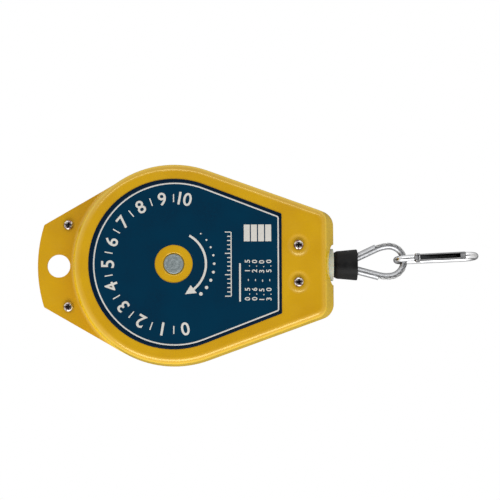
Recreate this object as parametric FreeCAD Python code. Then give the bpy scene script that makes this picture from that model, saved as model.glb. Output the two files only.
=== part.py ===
"""Spring balancer for light hand tools: a rope drum with a flat spiral spring, in a two-shell sheet housing.

Frame: millimetres, +Z up as the balancer hangs, the front with the rating plate faces -Y, and the origin
is the centre of the hanging hole, on the plane where the two shells meet.
"""
import FreeCAD, Part
import math
import os

V = FreeCAD.Vector
X_AXIS = V(1, 0, 0)
Y_AXIS = V(0, 1, 0)
Z_AXIS = V(0, 0, 1)
FRONT = -1
REAR = 1

# ---- Housing -------------------------------------------------------------------------------------
SHAFT_DROP = 82.7           # hanging hole down to the shaft axis
SHELL_ROUND_R = 72.0        # round part of the outline, about the shaft
SHELL_TAPER_DEG = 19.8      # lean of the straight sides below the round part
SHELL_END_DROP = 113.4      # shaft axis down to the bottom edge
SHELL_CORNER_R = 11.0
HALF_DEPTH = 24.0           # parting plane to the outside of each face
SHEET = 1.5
SIDE_RUN = 2.1              # how far the drawn wall leans in, over its depth, at the sides
END_RUN = 7.0               # and at the bottom end
FACE_CORNER_R = 8.5
EDGE_R = 5.0                # rolled edge between wall and face
TAB_TOP_R = 97.6            # top edge of the hanging tab, about the shaft
TAB_SIDE_DEG = 30.0
TAB_CORNER_R = 2.0
TAB_ROOT_R = 3.0            # hollow between the tab and the drawn wall
HANG_HOLE_R = 8.2
TAB_SCREW_X = 29.2
TAB_SCREW_LIFT = 9.9        # tab screws above the round part of the outline
GUIDE_SCREW_X = 13.0
GUIDE_SCREW_INSET = 25.8    # guide screws above the bottom edge
DIMPLE_R = 9.0              # soft dimple round each guide screw
DIMPLE_SEAT_R = 4.2         # its flat seat
DIMPLE_DEPTH = 0.8
DIMPLE_ENTRY = 0.03         # its outer curve starts this far off the sheet's surface
OUTLET_R = 14.6             # opening for the rope guide in the bottom wall
OUTLET_DEPTH = 20.0
COLLAR_LENGTH = 4.0         # drawn collar that carries the shaft
COLLAR_WALL = 1.6
COLLAR_LEAD_R = 1.5

# ---- Rating plate --------------------------------------------------------------------------------
LABEL_THICKNESS = 0.4
LABEL_ROUND_R = 59.8
LABEL_TAPER_DEG = 21.0
LABEL_END_DROP = 75.7
LABEL_CORNER_R = 1.0
LABEL_HOLE_R = 13.3

# ---- Screws and nuts -----------------------------------------------------------------------------
SCREW_R = 2.0
SCREW_HEAD_R = 3.5
SCREW_HEAD_H = 2.6
SCREW_CLEARANCE = 0.25
DRIVE_SLOT_W = 1.1
DRIVE_SLOT_L = 3.8
DRIVE_DEPTH = 1.4
NUT_FLATS = 7.0
NUT_H = 3.2
THREAD_SHOW = 1.4           # thread that stands out of its nut
HEAD_ROUND = 0.6            # share of a pan head's height that its rim rounds

# ---- Shaft and ratchet ---------------------------------------------------------------------------
RUNNING = 0.06              # radial running clearance
FACE_GAP = 0.3              # axial gap between pieces that turn past each other
SHAFT_FRONT_R = 7.0
SHAFT_ARBOR_R = 8.0
SHAFT_REAR_R = 6.0
SHAFT_PROUD = 0.6           # front end beyond the face
SHAFT_CHAMFER = 0.6
HEX_FLATS = 10.0
HEX_PROUD = 12.0            # adjusting hexagon beyond the rear face
RATCHET_TEETH = 12
RATCHET_TIP_R = 15.0
RATCHET_ROOT_R = 12.6
RATCHET_THICKNESS = 3.5
CLIP_R = 8.4
CLIP_THICKNESS = 1.0
CLIP_GROOVE_R = 4.4
CLIP_SIDE_GAP = 0.1         # groove wider than the clip
CLIP_MOUTH_R = 3.5          # half width of the clip's open side
PAWL_SHEET = 1.0
PAWL_HEIGHT = 5.0
PAWL_LENGTH = 24.0
PAWL_LEAN_DEG = 18.0
PAWL_FOOT = 12.0
RIVET_R = 1.5
RIVET_HEAD_R = 2.7
RIVET_HEAD_ROUND = 1.0
RIVET_TAIL_R = 2.4
RIVET_TAIL_H = 0.8
PAWL_OFFSET = 7.2           # how far out the pawl's foot lies from its tip

# ---- Rope and drum -------------------------------------------------------------------------------
ROPE_R = 2.0
ROPE_FIT = 0.2              # groove radius over rope radius
PITCH_R = 50.0              # rope centre on the drum
GROOVE_PITCH = 5.4
GROOVES = 5
LAST_TURN_START_DEG = 10.0  # where the last turn comes over from the groove before
DRUM_LAND_R = 48.5          # drum surface between the grooves
DRUM_HALF_W = 15.5
FLANGE_R = 55.0
FLANGE_T = 2.3
DRUM_BORE_R = 40.0          # spring chamber
DRUM_WEB_T = 3.0
COVER_T = 2.5
COVER_R = 46.3
COVER_SCREWS = 4
COVER_SCREW_PCR = 43.5
COVER_SCREW_R = 1.5
COVER_HEAD_R = 2.8
COVER_HEAD_H = 1.8
COVER_SCREW_REACH = 5.0     # thread in the drum's rim
COVER_HOLE_SPARE = 1.0      # tapped hole beyond the screw
COVER_HOLE_FIT = 0.2
COVER_FIRST_DEG = 45.0
HUB_R = 13.5
HUB_END_GAP = 0.5           # bush flange to the shell's collar
BUSH_WALL = 2.4
BUSH_FLANGE_T = 1.0
BUSH_FLANGE_INSET = 0.5     # bush flange inside the hub's edge
ANCHOR_R = 2.7
ANCHOR_LENGTH = 9.0
ANCHOR_EDGE_R = 0.6
STRIP_T = 0.6               # mainspring strip
STRIP_TURNS = 9
STRIP_START_R = 8.4
STRIP_END_R = 39.0
STRIP_SIDE_GAP = 0.4
HOOK_DEPTH = 2.6            # how deep the strip's inner end sits in the shaft
TOE_DEPTH = 1.6             # and its outer end in the drum

# ---- Rope guide ----------------------------------------------------------------------------------
GUIDE_BODY_R = 14.2
GUIDE_COLLAR_R = 11.5
GUIDE_COLLAR_H = 4.3
GUIDE_COLLAR_INSET = 0.3    # collar above the bottom edge of the shells
GUIDE_BODY_H = 14.0
GUIDE_BORE_R = 2.4
GUIDE_BELL_R = 9.5
GUIDE_POST_R = 3.6
GUIDE_RIB_W = 5.2
GUIDE_RIB_T = 10.0
GUIDE_TOE_R = 0.5
GUIDE_FLARE = 1.0           # flare at the bore's mouth
GUIDE_RIB_DROP = 2.0        # ribs below the guide's top
BEND_RISE = 15.8            # rope's turning point above the collar's lower face
LEAD_END_RISE = 4.8         # end of the inner rope above the collar's lower face
LEAD_START_GAP = 0.45       # inner rope after the end of the last turn
BEND_SHARE = 0.45           # share of the last run that the rope's bend takes up

# ---- Bumper, ferrule and eye ---------------------------------------------------------------------
STOP_GAP = 0.3              # bumper to collar, fully wound in
BUMPER_H = 16.8
BUMPER_TOP_R = 8.4
BUMPER_SHOULDER_R = 10.0
BUMPER_SHOULDER_H = 4.0
BUMPER_MOUTH_R = 11.15
BUMPER_CUP_R = 8.7
BUMPER_ROOF = 3.5
BUMPER_LIP_R = 0.7
BUMPER_BULGE = 0.3          # bulge of the shoulder's curve
BUMPER_BULGE_RISE = 0.6
FERRULE_H = 6.6
FERRULE_HALF_X = 5.2
FERRULE_HALF_Y = 3.2
FERRULE_EDGE_R = 0.8
FERRULE_SOCKET = 2.0
LEG_SOCKET = 0.5
LEG_DEG = 20.0              # lean of the eye's legs
LEG_END_X = 2.3             # half spacing of the legs where they leave the ferrule
LEG_LENGTH = 22.2           # straight part of each leg
SWELL_R = 26.1              # long bend from the leg to the crown
CROWN_R = 11.2              # rope centre round the crown
THIMBLE_R = 2.9             # outside of the thimble about the rope centre
THIMBLE_START = 3.4         # thimble sleeve below the ferrule
THIMBLE_STEP = 20.3         # rope shows from here down, below the ferrule
THIMBLE_LIP = 0.3           # thimble edges stand past the rope centre
EYE_TILT_DEG = -5.0         # the eye's set to one side

# ---- Snap hook -----------------------------------------------------------------------------------
WIRE_R = 2.4
HOOK_LENGTH = 61.0
TOP_BOW_R = 6.5
NOSE_BOW_R = 7.5
HOOK_SEAT_GAP = 0.25        # bow to thimble
HOOK_TILT_DEG = -2.5
HOOK_TWIST_DEG = 5.0        # the hook's set about its own length
PIVOT_DOWN = 8.0            # gate pivot below the top bow's centre, along the gate side
GATE_HALF_W = 2.5
GATE_SHEET = 0.9
GATE_TIP_GAP = 0.3
TONGUE_HALF_T = 1.3
TONGUE_LENGTH = 3.8
PIVOT_R = 1.0
PIVOT_FIT = 0.05
TONGUE_BACK_GAP = 0.1       # tongue to the inside of the gate
TONGUE_FRONT = 1.92         # how far out the tongues reach
TONGUE_ROOT = 0.5           # tongues start this deep in the wire
KNUCKLE_R = 1.32
GATE_DEPTH = 2.16           # outer edges of the gate's sides
GATE_BACK_R = 1.68
CHEEK_R = 2.16
PIVOT_HEAD_R = 1.8
PIVOT_HEAD_T = 0.5
GATE_SPRING_T = 0.3
GATE_SPRING_OUT = 1.2       # spring's free end on the lug, out from the gate's back
GATE_SPRING_TOP = 1.8       # and down from the pivot
GATE_SPRING_TOUCH = 9.0     # where it comes to lie on the gate's back
GATE_SPRING_END = 15.0

SHAFT_Z = -SHAFT_DROP
SHELL_END_Z = SHAFT_Z - SHELL_END_DROP
FACE_INSIDE = HALF_DEPTH - SHEET
COLLAR_END = HALF_DEPTH - COLLAR_LENGTH
HUB_HALF_W = COLLAR_END - HUB_END_GAP - BUSH_FLANGE_T
TAB_SCREW_RISE = math.sqrt(SHELL_ROUND_R ** 2 - TAB_SCREW_X ** 2) + TAB_SCREW_LIFT
GUIDE_SCREW_DROP = SHELL_END_DROP - GUIDE_SCREW_INSET
GUIDE_TOE_Z = SHELL_END_Z + GUIDE_COLLAR_INSET
BUMPER_TOP_Z = GUIDE_TOE_Z - STOP_GAP
FERRULE_TOP_Z = BUMPER_TOP_Z - BUMPER_ROOF - FACE_GAP
FERRULE_END_Z = FERRULE_TOP_Z - FERRULE_H
DIMPLE_SEAT = HALF_DEPTH - DIMPLE_DEPTH
LAST_GROOVE_Y = GROOVE_PITCH * (GROOVES - 1) / 2


# ---- Helpers -------------------------------------------------------------------------------------
def polar(radius, degrees, y=0.0):
    """Point about the shaft axis, seen from the front, counted from +X towards +Z."""
    angle = math.radians(degrees)
    return V(radius * math.cos(angle), y, SHAFT_Z + radius * math.sin(angle))


def about_shaft(radius, y_start, y_end):
    return Part.makeCylinder(radius, y_end - y_start, V(0, y_start, SHAFT_Z), Y_AXIS)


def rod(radius, start, end):
    return Part.makeCylinder(radius, (end - start).Length, start, end - start)


def block(x_start, x_end, y_start, y_end, z_start, z_end):
    return Part.makeBox(x_end - x_start, y_end - y_start, z_end - z_start, V(x_start, y_start, z_start))


def prism(points, direction):
    """Straight-sided outline pushed along a direction."""
    return Part.Face(Part.makePolygon(points + points[:1])).extrude(direction)


def hexagon(flats, y_start, y_end, x=0.0, z=0.0):
    corner = flats / 2 / math.cos(math.radians(30))
    points = []
    for step in range(6):
        angle = math.radians(60 * step)
        points.append(V(x + corner * math.cos(angle), y_start, z + corner * math.sin(angle)))
    return prism(points, V(0, y_end - y_start, 0))


def mirrored(point):
    return V(-point.x, point.y, point.z)


def arc(start, middle, end):
    return Part.Arc(start, middle, end).toShape()


def line(start, end):
    return Part.LineSegment(start, end).toShape()


def rounded_corner(before, corner, after, radius):
    """Start, middle and end of the arc that rounds a corner."""
    back = (before - corner).normalize()
    ahead = (after - corner).normalize()
    half = back.getAngle(ahead) / 2
    bisector = (back + ahead).normalize()
    centre = corner + bisector * (radius / math.sin(half))
    reach = radius / math.tan(half)
    return corner + back * reach, centre - bisector * radius, corner + ahead * reach


def pipe(edges, radius, start, direction):
    """Round bar along tangent lines and arcs."""
    ring = Part.Wire([Part.Circle(start, direction, radius).toShape()])
    return Part.Wire(edges).makePipeShell([ring], True, False)


def at_height(shape, axis_value):
    """Edges that lie wholly at one distance from the parting plane."""
    return [e for e in shape.Edges if all(abs(v.Y - axis_value) < 1e-4 for v in e.Vertexes)]


# ---- Outlines ------------------------------------------------------------------------------------
def body_outline(y, round_r, taper_deg, end_drop, corner_r):
    """Round part about the shaft, straight tapering sides and a flat bottom end."""
    taper = math.radians(taper_deg)
    touch = polar(round_r, -taper_deg, y)
    half_end = round_r / math.cos(taper) - end_drop * math.tan(taper)
    tip = V(half_end, y, SHAFT_Z - end_drop)
    up, middle, along = rounded_corner(touch, tip, mirrored(tip), corner_r)
    edges = [
        arc(touch, polar(round_r, 90, y), mirrored(touch)),
        line(mirrored(touch), mirrored(up)),
        arc(mirrored(up), mirrored(middle), mirrored(along)),
        line(mirrored(along), along),
        arc(along, middle, up),
        line(up, touch),
    ]
    return Part.Wire(edges)


def drawn_pan(side, shrink, edge_r):
    """Solid form of the drawn pan; shrink is the distance inside the outer surface."""
    depth = HALF_DEPTH - shrink
    share = depth / HALF_DEPTH
    rim = body_outline(0, SHELL_ROUND_R - shrink, SHELL_TAPER_DEG, SHELL_END_DROP - shrink,
                       SHELL_CORNER_R - shrink)
    face = body_outline(side * depth, SHELL_ROUND_R - SIDE_RUN * share - shrink, SHELL_TAPER_DEG,
                        SHELL_END_DROP - END_RUN * share - shrink, FACE_CORNER_R - shrink)
    solid = Part.makeLoft([rim, face], True, True)
    return solid.makeFillet(edge_r, at_height(solid, side * depth))


def tab_prism(y_start, y_end):
    """Hanging tab in outline: sides tangent to the round part, top edge an arc about the shaft."""
    lean = math.radians(TAB_SIDE_DEG)
    touch = polar(SHELL_ROUND_R, TAB_SIDE_DEG, y_start)
    reach = math.sqrt(TAB_TOP_R ** 2 - SHELL_ROUND_R ** 2)
    tip = touch + V(-math.sin(lean), 0, math.cos(lean)) * reach
    edges = [
        line(mirrored(touch), touch),
        line(touch, tip),
        arc(tip, polar(TAB_TOP_R, 90, y_start), mirrored(tip)),
        line(mirrored(tip), mirrored(touch)),
    ]
    solid = Part.Face(Part.Wire(edges)).extrude(V(0, y_end - y_start, 0))
    corners = [e for e in solid.Edges if e.Length < abs(y_end - y_start) + 1e-6
               and min(v.Z for v in e.Vertexes) > touch.z + 1]
    return solid.makeFillet(TAB_CORNER_R, corners)


def tab_root(side):
    """Hollow root between the tab's outer face and the round wall."""
    wall_slope = SIDE_RUN / HALF_DEPTH
    low = SHEET
    high = SHEET + TAB_ROOT_R
    wall_low = SHELL_ROUND_R - wall_slope * low
    wall_high = SHELL_ROUND_R - wall_slope * high
    centre_r = wall_high + TAB_ROOT_R
    bite = TAB_ROOT_R * math.sqrt(0.5)
    corner_a = V(wall_high - SHEET / 2, side * high, SHAFT_Z)
    corner_b = V(wall_low - SHEET / 2, side * low / 2, SHAFT_Z)
    corner_c = V(centre_r, side * low / 2, SHAFT_Z)
    corner_d = V(centre_r, side * low, SHAFT_Z)
    corner_e = V(wall_high, side * high, SHAFT_Z)
    edges = [
        line(corner_a, corner_b),
        line(corner_b, corner_c),
        line(corner_c, corner_d),
        arc(corner_d, V(centre_r - bite, side * (high - bite), SHAFT_Z), corner_e),
        line(corner_e, corner_a),
    ]
    ring = Part.Face(Part.Wire(edges)).revolve(V(0, 0, SHAFT_Z), Y_AXIS, 360)
    return ring.common(tab_prism(0, side * (high + 1)))


# ---- Housing -------------------------------------------------------------------------------------
def dimple(foot, inward, above, below):
    """Round form with a flat bottom and a double curve up to its rim, below deeper than the sheet's face."""
    middle_r = (DIMPLE_R + DIMPLE_SEAT_R) / 2
    half_w = (DIMPLE_R - DIMPLE_SEAT_R) / 2
    half_d = (DIMPLE_DEPTH + DIMPLE_ENTRY) / 2
    bow = (half_w ** 2 + half_d ** 2) / (2 * half_d)
    half_angle = math.asin(half_w / bow) / 2
    step_r = bow * math.sin(half_angle)
    step_d = bow * (1 - math.cos(half_angle))

    def at(radius, depth):
        return foot + X_AXIS * radius + inward * (depth + below)

    rim = at(DIMPLE_R, -DIMPLE_ENTRY)
    turn = at(middle_r, half_d - DIMPLE_ENTRY)
    seat = at(DIMPLE_SEAT_R, DIMPLE_DEPTH)
    top_rim = foot + X_AXIS * DIMPLE_R - inward * above
    top = foot - inward * above
    edges = [
        line(top, top_rim),
        arc(rim, at(DIMPLE_R - step_r, step_d - DIMPLE_ENTRY), turn),
        arc(turn, at(DIMPLE_SEAT_R + step_r, DIMPLE_DEPTH - step_d), seat),
        line(seat, at(0, DIMPLE_DEPTH)),
        line(at(0, DIMPLE_DEPTH), top),
    ]
    if (top_rim - rim).Length > DIMPLE_ENTRY / 2:
        edges.insert(1, line(top_rim, rim))
    return Part.Face(Part.Wire(edges)).revolve(foot, inward, 360)


def shell(side, shaft_r):
    """One drawn half of the housing, with its half of the hanging tab."""
    outside = drawn_pan(side, 0, EDGE_R)
    outside = outside.fuse([tab_prism(0, side * SHEET), tab_root(side)])
    inside = drawn_pan(side, SHEET, EDGE_R - SHEET)
    skin = outside.cut(inside)
    bore_r = shaft_r + RUNNING
    ends = sorted([side * HALF_DEPTH, side * COLLAR_END])
    skin = skin.fuse(about_shaft(bore_r + COLLAR_WALL, ends[0], ends[1]))
    skin = skin.cut(about_shaft(bore_r, min(0, side * (HALF_DEPTH + 1)), max(0, side * (HALF_DEPTH + 1))))
    lead = [e for e in at_height(skin, side * HALF_DEPTH)
            if e.Curve.TypeId == "Part::GeomCircle" and abs(e.Curve.Radius - bore_r) < 1e-4]
    skin = skin.makeFillet(COLLAR_LEAD_R, lead)
    holes = [rod(HANG_HOLE_R, V(0, 0, 0), V(0, side * SHEET, 0))]
    screw_hole = SCREW_R + SCREW_CLEARANCE
    for x_sign in (-1, 1):
        at_tab = V(x_sign * TAB_SCREW_X, 0, SHAFT_Z + TAB_SCREW_RISE)
        holes.append(rod(screw_hole, at_tab, at_tab + Y_AXIS * side * SHEET))
        foot = V(x_sign * GUIDE_SCREW_X, side * HALF_DEPTH, SHAFT_Z - GUIDE_SCREW_DROP)
        inward = V(0, -side, 0)
        skin = skin.fuse(dimple(foot, inward, 0, SHEET))
        holes.append(dimple(foot, inward, DIMPLE_ENTRY, 0))
        holes.append(rod(screw_hole, foot, foot + inward * (HALF_DEPTH / 2)))
    holes.append(rod(OUTLET_R, V(0, 0, SHELL_END_Z - 1), V(0, 0, SHELL_END_Z + OUTLET_DEPTH)))
    if side == REAR:
        holes.extend(rod(RIVET_R, p, p - Y_AXIS * SHEET) for p in rivet_points())
    return skin.cut(holes).removeSplitter()


def label_plate():
    """Thin printed plate on the front face, round the shaft."""
    outline = body_outline(-HALF_DEPTH, LABEL_ROUND_R, LABEL_TAPER_DEG, LABEL_END_DROP, LABEL_CORNER_R)
    plate = Part.Face(outline).extrude(V(0, -LABEL_THICKNESS, 0))
    return plate.cut(about_shaft(LABEL_HOLE_R, -HALF_DEPTH - 1, -HALF_DEPTH + 1))


def pan_head_screw(seat, length):
    """Cross-recess screw: seat is under the head, the shank runs towards +Y."""
    head = Part.makeCylinder(SCREW_HEAD_R, SCREW_HEAD_H, seat, -Y_AXIS)
    rim = at_height(head, seat.y - SCREW_HEAD_H)
    head = head.makeFillet(SCREW_HEAD_H * HEAD_ROUND, rim)
    deep = seat.y - SCREW_HEAD_H
    half_w = DRIVE_SLOT_W / 2
    half_l = DRIVE_SLOT_L / 2
    upright = block(seat.x - half_w, seat.x + half_w, deep, deep + DRIVE_DEPTH, seat.z - half_l, seat.z + half_l)
    across = block(seat.x - half_l, seat.x + half_l, deep, deep + DRIVE_DEPTH, seat.z - half_w, seat.z + half_w)
    shank = Part.makeCylinder(SCREW_R, length, seat, Y_AXIS)
    return head.cut([upright, across]).fuse(shank).removeSplitter()


def nut(seat):
    """Plain hexagon nut whose bearing face is at the seat."""
    body = hexagon(NUT_FLATS, seat.y, seat.y + NUT_H, seat.x, seat.z)
    return body.cut(rod(SCREW_R, seat, seat + Y_AXIS * NUT_H))


# ---- Shaft group ---------------------------------------------------------------------------------
def main_shaft():
    """Stepped shaft: front journal, spring arbor with its slot, rear journal and adjusting hexagon."""
    front_end = -HALF_DEPTH - SHAFT_PROUD
    arbor_end = COLLAR_END - FACE_GAP / 2
    rear_end = HALF_DEPTH + FACE_GAP
    journal = about_shaft(SHAFT_FRONT_R, front_end, 0)
    journal = journal.makeChamfer(SHAFT_CHAMFER, at_height(journal, front_end))
    arbor = about_shaft(SHAFT_ARBOR_R, -arbor_end, arbor_end)
    rear = about_shaft(SHAFT_REAR_R, 0, rear_end)
    hexagon_bar = hexagon(HEX_FLATS, 0, HALF_DEPTH + HEX_PROUD, 0, SHAFT_Z)
    shaft = journal.fuse([arbor, rear, hexagon_bar])
    clip_start = rear_end + RATCHET_THICKNESS
    ring = about_shaft(SHAFT_REAR_R + 1, clip_start, clip_start + CLIP_THICKNESS + CLIP_SIDE_GAP)
    groove = ring.cut(about_shaft(CLIP_GROOVE_R, clip_start, clip_start + CLIP_THICKNESS + CLIP_SIDE_GAP))
    slot_half = STRIP_T / 2 + FACE_GAP
    strip_front, strip_rear = strip_sides()
    slot = block(-SHAFT_ARBOR_R - 1, -SHAFT_ARBOR_R + HOOK_DEPTH + FACE_GAP, strip_front - FACE_GAP,
                 strip_rear + FACE_GAP, SHAFT_Z + STRIP_T / 2 - slot_half, SHAFT_Z + STRIP_T / 2 + slot_half)
    return shaft.cut([groove, slot]).removeSplitter()


def ratchet_wheel():
    """Saw-toothed wheel; it lets the shaft turn clockwise, seen from the front."""
    start = HALF_DEPTH + FACE_GAP
    pitch = 360.0 / RATCHET_TEETH
    points = []
    for tooth in range(RATCHET_TEETH):
        face_angle = 180.0 - pitch * tooth
        points.append(polar(RATCHET_ROOT_R, face_angle, start))
        points.append(polar(RATCHET_TIP_R, face_angle, start))
    wheel = prism(points, V(0, RATCHET_THICKNESS, 0))
    return wheel.cut(hexagon(HEX_FLATS, start - 1, start + RATCHET_THICKNESS + 1, 0, SHAFT_Z))


def retaining_clip():
    """Open ring in the groove behind the ratchet wheel."""
    start = HALF_DEPTH + FACE_GAP + RATCHET_THICKNESS
    ring = about_shaft(CLIP_R, start, start + CLIP_THICKNESS)
    opening = block(-CLIP_MOUTH_R, CLIP_MOUTH_R, start, start + CLIP_THICKNESS, SHAFT_Z - CLIP_R - 1, SHAFT_Z)
    bore = about_shaft(CLIP_GROOVE_R, start, start + CLIP_THICKNESS)
    return ring.cut([bore, opening])


def pawl_frame():
    """Pawl tip, direction from the tip to the foot, and the direction away from the wheel."""
    lean = math.radians(PAWL_LEAN_DEG)
    tip = V(-RATCHET_ROOT_R - FACE_GAP, HALF_DEPTH, SHAFT_Z - FACE_GAP)
    down = V(-math.sin(lean), 0, -math.cos(lean))
    out = V(-math.cos(lean), 0, math.sin(lean))
    return tip, down, out


def leaf_pawl():
    """Spring-steel pawl: a foot on the rear face and an upright blade that drops in behind the teeth."""
    tip, down, out = pawl_frame()
    lift = Y_AXIS * (FACE_GAP / 2)
    blade_start = tip + lift
    blade = prism([blade_start, blade_start + out * PAWL_SHEET,
                   blade_start + out * PAWL_SHEET + down * PAWL_LENGTH,
                   blade_start + down * PAWL_LENGTH], Y_AXIS * PAWL_HEIGHT)
    root = tip + down * (PAWL_LENGTH - PAWL_FOOT)
    foot = prism([root, root + out * PAWL_FOOT, root + out * PAWL_FOOT + down * PAWL_FOOT,
                  root + down * PAWL_FOOT], Y_AXIS * PAWL_SHEET)
    pawl = foot.fuse(blade)
    return pawl.cut([rod(RIVET_R, p, p + Y_AXIS * PAWL_SHEET) for p in rivet_points()]).removeSplitter()


def rivet_points():
    tip, down, out = pawl_frame()
    root = tip + down * (PAWL_LENGTH - PAWL_FOOT) + out * PAWL_OFFSET
    return [root + down * (PAWL_FOOT * share) for share in (0.27, 0.73)]


def pawl_rivets():
    """Two round-head rivets through the pawl's foot and the rear shell."""
    rivets = []
    for point in rivet_points():
        top = point + Y_AXIS * PAWL_SHEET
        inner = V(point.x, FACE_INSIDE, point.z)
        head = rod(RIVET_HEAD_R, top, top + Y_AXIS * RIVET_R)
        head = head.makeFillet(RIVET_HEAD_ROUND, at_height(head, top.y + RIVET_R))
        tail = rod(RIVET_TAIL_R, inner - Y_AXIS * RIVET_TAIL_H, inner)
        rivets.append(head.fuse([tail, rod(RIVET_R, inner, top)]).removeSplitter())
    return Part.makeCompound(rivets)


# ---- Drum group ----------------------------------------------------------------------------------
def groove_positions():
    return [-LAST_GROOVE_Y + GROOVE_PITCH * step for step in range(GROOVES)]


def rope_leaves_at():
    """Angle on the drum, seen from the front, where the rope leaves for the guide."""
    reach = SHAFT_Z - (GUIDE_TOE_Z + BEND_RISE)
    return 270.0 - math.degrees(math.acos(PITCH_R / reach))


def chamber_ends():
    return -DRUM_HALF_W + DRUM_WEB_T, DRUM_HALF_W - COVER_T


def drum():
    """Die-cast drum: grooved rim, two flanges, front web with its hub, and the spring chamber."""
    chamber_front, chamber_rear = chamber_ends()
    body = about_shaft(DRUM_LAND_R, -DRUM_HALF_W, DRUM_HALF_W)
    flange_front = about_shaft(FLANGE_R, -DRUM_HALF_W, -DRUM_HALF_W + FLANGE_T)
    flange_rear = about_shaft(FLANGE_R, DRUM_HALF_W - FLANGE_T, DRUM_HALF_W)
    hub = about_shaft(HUB_R, -HUB_HALF_W, chamber_front)
    body = body.fuse([flange_front, flange_rear, hub])
    cuts = [
        about_shaft(DRUM_BORE_R, chamber_front, DRUM_HALF_W),
        about_shaft(COVER_R + RUNNING, chamber_rear, DRUM_HALF_W),
        about_shaft(SHAFT_ARBOR_R + RUNNING + BUSH_WALL, -HUB_HALF_W, chamber_front),
    ]
    for y in groove_positions():
        cuts.append(Part.makeTorus(PITCH_R, ROPE_R + ROPE_FIT, V(0, y, SHAFT_Z), Y_AXIS))
    anchor_y = groove_positions()[0]
    half_pocket = ANCHOR_LENGTH / 2 + FACE_GAP
    pocket_z = SHAFT_Z + PITCH_R
    cuts.append(rod(ANCHOR_R + ROPE_FIT, V(-half_pocket, anchor_y, pocket_z), V(half_pocket, anchor_y, pocket_z)))
    toe_z = SHAFT_Z - STRIP_T / 2
    toe_half = STRIP_T / 2 + FACE_GAP
    cuts.append(block(-DRUM_BORE_R - TOE_DEPTH, -DRUM_BORE_R + TOE_DEPTH, chamber_front, chamber_rear,
                      toe_z - toe_half, toe_z + toe_half))
    cuts.extend(cover_screw_rods(
        COVER_SCREW_R, chamber_rear - COVER_SCREW_REACH - COVER_HOLE_SPARE, chamber_rear))
    return body.cut(cuts).removeSplitter()


def cover_screw_rods(radius, y_start, y_end):
    rods = []
    for step in range(COVER_SCREWS):
        angle = COVER_FIRST_DEG + 360.0 / COVER_SCREWS * step
        rods.append(rod(radius, polar(COVER_SCREW_PCR, angle, y_start), polar(COVER_SCREW_PCR, angle, y_end)))
    return rods


def spring_cover():
    """Round cover that closes the spring chamber and carries the rear bush."""
    chamber_rear = chamber_ends()[1]
    cover = about_shaft(COVER_R, chamber_rear, DRUM_HALF_W)
    cover = cover.fuse(about_shaft(HUB_R, chamber_rear, HUB_HALF_W))
    cuts = [about_shaft(SHAFT_ARBOR_R + RUNNING + BUSH_WALL, chamber_rear - 1, HUB_HALF_W + 1)]
    cuts.extend(cover_screw_rods(COVER_SCREW_R + COVER_HOLE_FIT, chamber_rear, DRUM_HALF_W))
    return cover.cut(cuts).removeSplitter()


def cover_screws():
    """Four short screws into the drum's rim."""
    chamber_rear = chamber_ends()[1]
    shanks = cover_screw_rods(COVER_SCREW_R, chamber_rear - COVER_SCREW_REACH, DRUM_HALF_W)
    heads = cover_screw_rods(COVER_HEAD_R, DRUM_HALF_W, DRUM_HALF_W + COVER_HEAD_H)
    screws = []
    for shank, head in zip(shanks, heads):
        head = head.makeFillet(COVER_HEAD_H * 0.5, at_height(head, DRUM_HALF_W + COVER_HEAD_H))
        screws.append(head.fuse(shank).removeSplitter())
    return Part.makeCompound(screws)


def drum_bush(side):
    """Flanged plain bush between drum and shaft; its flange also keeps the drum off the housing."""
    inner = SHAFT_ARBOR_R + RUNNING
    chamber = abs(chamber_ends()[0]) if side == FRONT else chamber_ends()[1]
    sleeve_ends = sorted([side * chamber, side * HUB_HALF_W])
    flange_ends = sorted([side * HUB_HALF_W, side * (HUB_HALF_W + BUSH_FLANGE_T)])
    sleeve = about_shaft(inner + BUSH_WALL, sleeve_ends[0], sleeve_ends[1])
    flange = about_shaft(HUB_R - BUSH_FLANGE_INSET, flange_ends[0], flange_ends[1])
    ends = (min(sleeve_ends[0], flange_ends[0]), max(sleeve_ends[1], flange_ends[1]))
    return sleeve.fuse(flange).cut(about_shaft(inner, ends[0], ends[1])).removeSplitter()


def strip_sides():
    chamber_front, chamber_rear = chamber_ends()
    return chamber_front + STRIP_SIDE_GAP, chamber_rear - STRIP_SIDE_GAP


def spiral_edges(y, grow):
    """Spiral of half circles about two centres, from the shaft out to the rim."""
    step = (STRIP_END_R - STRIP_START_R) / (2 * STRIP_TURNS)
    edges = []
    for half in range(2 * STRIP_TURNS):
        radius = STRIP_START_R + step * half + grow
        shift = 0.0 if half % 2 == 0 else -step
        centre = V(shift, y, SHAFT_Z)
        sign = 1 if half % 2 == 0 else -1
        start = centre + V(-sign * radius, 0, 0)
        middle = centre + V(0, 0, sign * radius)
        end = centre + V(sign * radius, 0, 0)
        edges.append(arc(start, middle, end))
    return edges


def mainspring():
    """Flat spiral spring: inner end hooked in the shaft's slot, outer end in the drum's notch."""
    front, rear = strip_sides()
    inner = spiral_edges(front, 0)
    outer = spiral_edges(front, STRIP_T)
    inner_start = inner[0].Vertexes[0].Point
    outer_start = outer[0].Vertexes[0].Point
    inner_end = inner[-1].Vertexes[-1].Point
    outer_end = outer[-1].Vertexes[-1].Point
    outline = Part.Wire(inner + [line(inner_end, outer_end)] + outer[::-1] + [line(outer_start, inner_start)])
    strip = Part.Face(outline).extrude(V(0, rear - front, 0))
    hook = block(-STRIP_START_R - STRIP_T, -SHAFT_ARBOR_R + HOOK_DEPTH, front, rear, SHAFT_Z, SHAFT_Z + STRIP_T)
    toe = block(-DRUM_BORE_R - TOE_DEPTH + FACE_GAP, -STRIP_END_R, front, rear, SHAFT_Z - STRIP_T, SHAFT_Z)
    return strip.fuse([hook, toe]).removeSplitter()


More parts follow.
